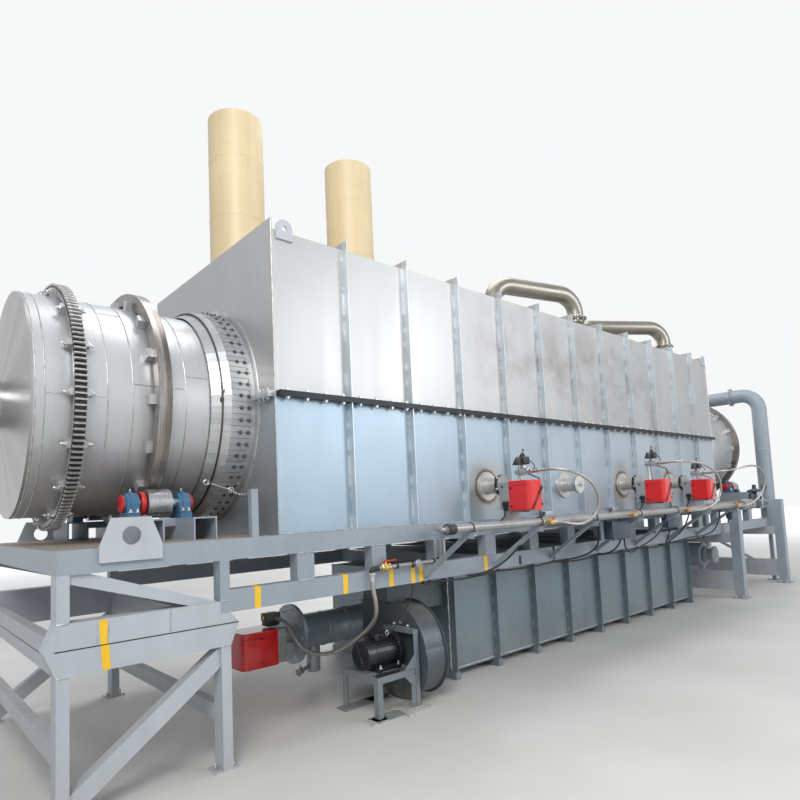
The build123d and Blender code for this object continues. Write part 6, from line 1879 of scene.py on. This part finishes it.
class FURNACE_OT_wiring(bpy.types.Operator):
    """Black cables clipped under the lower rail, their loops below the arms, and the junction boxes"""

    bl_idname = "furnace.wiring"
    bl_label = "Wiring"

    def execute(self, context):
        y, z = rail_y - 0.010, lower_rail[0] - 0.010
        stops = [casing_x0 + 1.340] + [x + 0.060 for x in arm_xs] + [casing_x0 + 7.150]
        drops = (0.012, 0.020, 0.016, 0.028, 0.018, 0.024, 0.014, 0.020)
        cables = [sagging((start, y, z), (end, y, z), drop, 0.009)
                  for start, end, drop in zip(stops, stops[1:], drops)]
        clips = [slab((x - 0.012, y - 0.012, z - 0.012), (x + 0.012, rail_y + 0.020, z + 0.014), 0.003)
                 for x in stops]
        for run in cable_runs:
            cables.append(swept(eased(run), circle(0.0085, 10), up=(0.3, 1, 0.2)))
            clips += [slab(np.array(end) - [0.014, 0.012, 0.010], np.array(end) + [0.014, 0.012, 0.008],
                           0.003) for end in (run[0], run[-1]) if end[2] > 1.3]
        boxes = []
        for x0, x1, y0, y1, z0, z1 in ((-0.905, -0.535, -1.705, -1.605, 1.190, 1.372),
            (0.490, 0.790, -1.660, -1.580, 1.235, 1.372), (2.335, 2.435, -1.720, -1.650, 1.262, 1.350)):
            boxes.append(slab((x0, y0, z0), (x1, y1, z1), 0.010, 2))
            boxes.append(slab((x0 - 0.004, y0 - 0.010, z0 - 0.004), (x1 + 0.004, y0, z1 + 0.004), 0.004, 2))
            boxes += [slab((x, y1 - 0.012, z1 - 0.010), (x + 0.030, y1 - 0.006, 1.406), 0.001)
                      for x in (x0 + 0.020, x1 - 0.050)]
            clips += [stood(nut(0.014, 0.020), (x0 + share * (x1 - x0), (y0 + y1) / 2, z0), DOWN)
                      for share in (0.30, 0.55, 0.80)]
        for x, low, high in ((-1.860, 1.004, 1.090), (-1.276, 1.004, 1.150)):
            boxes.append(slab((x - 0.014, rail_y - 0.012, low), (x + 0.014, rail_y, high), 0.003))
        pad_xs = (-1.290, 0.100)
        pads = [slab((x - 0.075, rail_y + 0.004, rail_top), (x + 0.075, near_y - 0.006, rail_top + 0.045),
                     0.006, 2) for x in pad_xs]
        cables += [tube([(x - 0.070, -1.200, rail_top + 0.030), (x - 0.110, -1.215, rail_top + 0.034),
                         (x - 0.190, -1.240, rail_top - 0.020), (x - 0.215, -1.238, rail_top - 0.120)],
                        0.011, 0.03) for x in pad_xs]
        make_piece("shelf_pads", pads, "lug_pale")
        make_piece("cables", cables, "cable_rubber")
        make_piece("cable_clips", clips, "valve_black")
        make_piece("junction_boxes", boxes, "valve_blue")
        return {"FINISHED"}


class FURNACE_OT_lower_box(bpy.types.Operator):
    """Seams along the lower box's edges and stitch welds along its ribs"""

    bl_idname = "furnace.lower_box_fittings"
    bl_label = "Lower box fittings"

    def execute(self, context):
        sizes = context.scene.furnace_sizes
        low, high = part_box("lower_box")
        side, foot = 0.933, 0.085
        stitch = bead(line((0, 0, 0), (0, 0, sizes.stitch_length), 10), sizes.bead_radius, up=OUTLET)
        places = []
        count = 8
        for k in range(count + 1):
            x = low.x + k * (high.x - low.x) / count
            for way, rise in ((-1, 0.0), (1, 0.08)):
                for y in (-side, side):
                    zs = np.arange(foot + 0.03, high.z - 0.10, sizes.stitch_pitch) + rise
                    places.append(points_at(x + way * 0.005, y, zs))
        seams = [bead(line((low.x + 0.004, y, foot + 0.003), (high.x - 0.004, y, foot + 0.003), 900),
                      sizes.bead_radius * 1.2) for y in (-side, side)]
        seams += [bead(line((x, y, foot + 0.005), (x, y, high.z - 0.005), 150), sizes.bead_radius * 1.2,
                       up=OUTLET) for x in (low.x, high.x) for y in (-side, side)]
        make_piece("lower_box_welds", seams + [stood(stitch, np.concatenate(places), UP)], "weld_metal")
        return {"FINISHED"}


backdrop = (0.93, 0.94, 0.95, 1)


class FURNACE_OT_stage(bpy.types.Operator):
    """Floor, lamps, world and the camera at the photograph's viewing angle"""

    bl_idname = "furnace.stage"
    bl_label = "Stage"

    def execute(self, context):
        reach = 60.0
        xs = np.linspace(-reach, reach, 3)
        points = np.stack(np.meshgrid(xs, xs, indexing="ij") + [np.zeros((3, 3))], -1)
        floor = make_stage_mesh("floor", grid(points), self.floor_material())
        world = bpy.data.worlds.new("pale_room")
        world.use_nodes = True
        g = Graph(world.node_tree)
        background = world.node_tree.nodes["Background"]
        straight, seen = g.seen_directly()
        upward = g.remap(g.split(g.add("ShaderNodeTexCoord", output=0))[2], -0.1, 0.9)
        room = g.mix(upward, backdrop, (0.62, 0.66, 0.71, 1))
        shown = g.mix(straight, room, backdrop)
        g.tree.links.new(shown, background.inputs["Color"])
        g.tree.links.new(g.remap(seen, 0.0, 1.0, 0.62, 1.0), background.inputs["Strength"])
        context.scene.world = world

        self.lamp("key", (-9.0, -7.0, 8.0), (-1.0, 0.0, 2.0), 5.0, 620.0, (1.0, 0.985, 0.96))
        self.lamp("side", (5.0, -12.0, 6.0), (1.5, 0.0, 1.5), 6.0, 520.0, (0.97, 0.985, 1.0))
        self.lamp("top", (0.0, 1.0, 11.0), (0.0, 0.0, 2.0), 9.0, 700.0, (1.0, 1.0, 1.0))
        self.lamp("back", (6.0, 10.0, 6.0), (0.0, 0.0, 2.0), 7.0, 420.0, (1.0, 0.97, 0.93))

        camera = bpy.data.objects.new("camera", bpy.data.cameras.new("camera"))
        context.scene.collection.objects.link(camera)
        forward = Vector((0.66455, 0.74261, 0.08306)).normalized()
        right = Vector((0.74692, -0.66340, -0.04476)).normalized()
        above = right.cross(forward)
        turn = Matrix((right, above, -forward)).transposed().to_4x4()
        camera.matrix_world = Matrix.Translation((-6.760, -4.970, 1.627)) @ turn
        camera.data.sensor_fit = "HORIZONTAL"
        camera.data.sensor_width = 36.0
        camera.data.lens = 26.99
        camera.data.shift_y = 0.0714
        camera.data.clip_end = 200.0
        context.scene.camera = camera
        context.scene.view_settings.view_transform = "Standard"
        return {"FINISHED"}

    @staticmethod
    def lamp(name, place, aim, size, power, colour):
        data = bpy.data.lights.new(name, "AREA")
        data.shape, data.size, data.energy, data.color = "DISK", size, power, colour
        lamp = bpy.data.objects.new(name, data)
        bpy.context.scene.collection.objects.link(lamp)
        lamp.location = place
        lamp.rotation_euler = (Vector(aim) - Vector(place)).to_track_quat("-Z", "Y").to_euler()

    @staticmethod
    def floor_material():
        finish = Finish("pale_floor", roughness=0.6)
        g = finish.graph
        place = g.place()
        cloud = g.noise(place, 0.8, 4.0, 0.5)
        tone = g.mix(g.remap(cloud, 0.3, 0.7), (0.56, 0.55, 0.53, 1), (0.64, 0.63, 0.61, 1))
        seen = g.seen_directly()[1]
        far = g.times(seen, g.remap(g.vector("LENGTH", place, output=1), 8.5, 20.0))
        finish.colour(g.mix(far, tone, (0.0, 0.0, 0.0, 1)))
        finish.shader.inputs["Emission Color"].default_value = backdrop
        g.tree.links.new(far, finish.shader.inputs["Emission Strength"])
        return finish.height(g.noise(g.place(), 40.0, 3.0), 0.05, 0.002).material


def make_stage_mesh(name, shape, material):
    """A mesh that isn't part of the furnace."""
    points, faces = shape
    mesh = bpy.data.meshes.new(name)
    mesh.from_pydata(points.tolist(), [], faces.tolist())
    mesh.materials.append(material)
    piece = bpy.data.objects.new(name, mesh)
    bpy.context.scene.collection.objects.link(piece)
    return piece


piece_operators = (FURNACE_OT_stage, FURNACE_OT_hoses, FURNACE_OT_dress_frame, FURNACE_OT_casing_bolts,
                   FURNACE_OT_casing_welds, FURNACE_OT_drum_seams, FURNACE_OT_gear_fittings,
                   FURNACE_OT_seal_fittings, FURNACE_OT_roller_fittings, FURNACE_OT_burner_ports,
                   FURNACE_OT_burners, FURNACE_OT_gas_valves, FURNACE_OT_gas_line, FURNACE_OT_chamber,
                   FURNACE_OT_fan, FURNACE_OT_ducts, FURNACE_OT_frame_fittings, FURNACE_OT_wiring,
                   FURNACE_OT_lower_box)


class FURNACE_PT_panel(bpy.types.Panel):
    """Sizes, colours and pieces of the furnace"""

    bl_label = "Furnace"
    bl_space_type = "VIEW_3D"
    bl_region_type = "UI"
    bl_category = "Furnace"

    def draw(self, context):
        for group in (context.scene.furnace_sizes, context.scene.furnace_colours):
            box = self.layout.box()
            for key in group.bl_rna.properties.keys():
                if key not in ("rna_type", "name"):
                    box.prop(group, key)
        for operator in piece_operators:
            self.layout.operator(operator.bl_idname)


classes = (FurnaceSizes, FurnaceColours) + piece_operators + (FURNACE_PT_panel,)


def register():
    for each in classes:
        bpy.utils.register_class(each)
    bpy.types.Scene.furnace_sizes = bpy.props.PointerProperty(type=FurnaceSizes)
    bpy.types.Scene.furnace_colours = bpy.props.PointerProperty(type=FurnaceColours)


def unregister():
    del bpy.types.Scene.furnace_sizes
    del bpy.types.Scene.furnace_colours
    for each in reversed(classes):
        bpy.utils.unregister_class(each)


def main():
    """Register the add-on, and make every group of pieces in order."""
    register()
    for operator in piece_operators:
        group, name = operator.bl_idname.split(".")
        getattr(getattr(bpy.ops, group), name)()


if __name__ == "__main__":
    main()
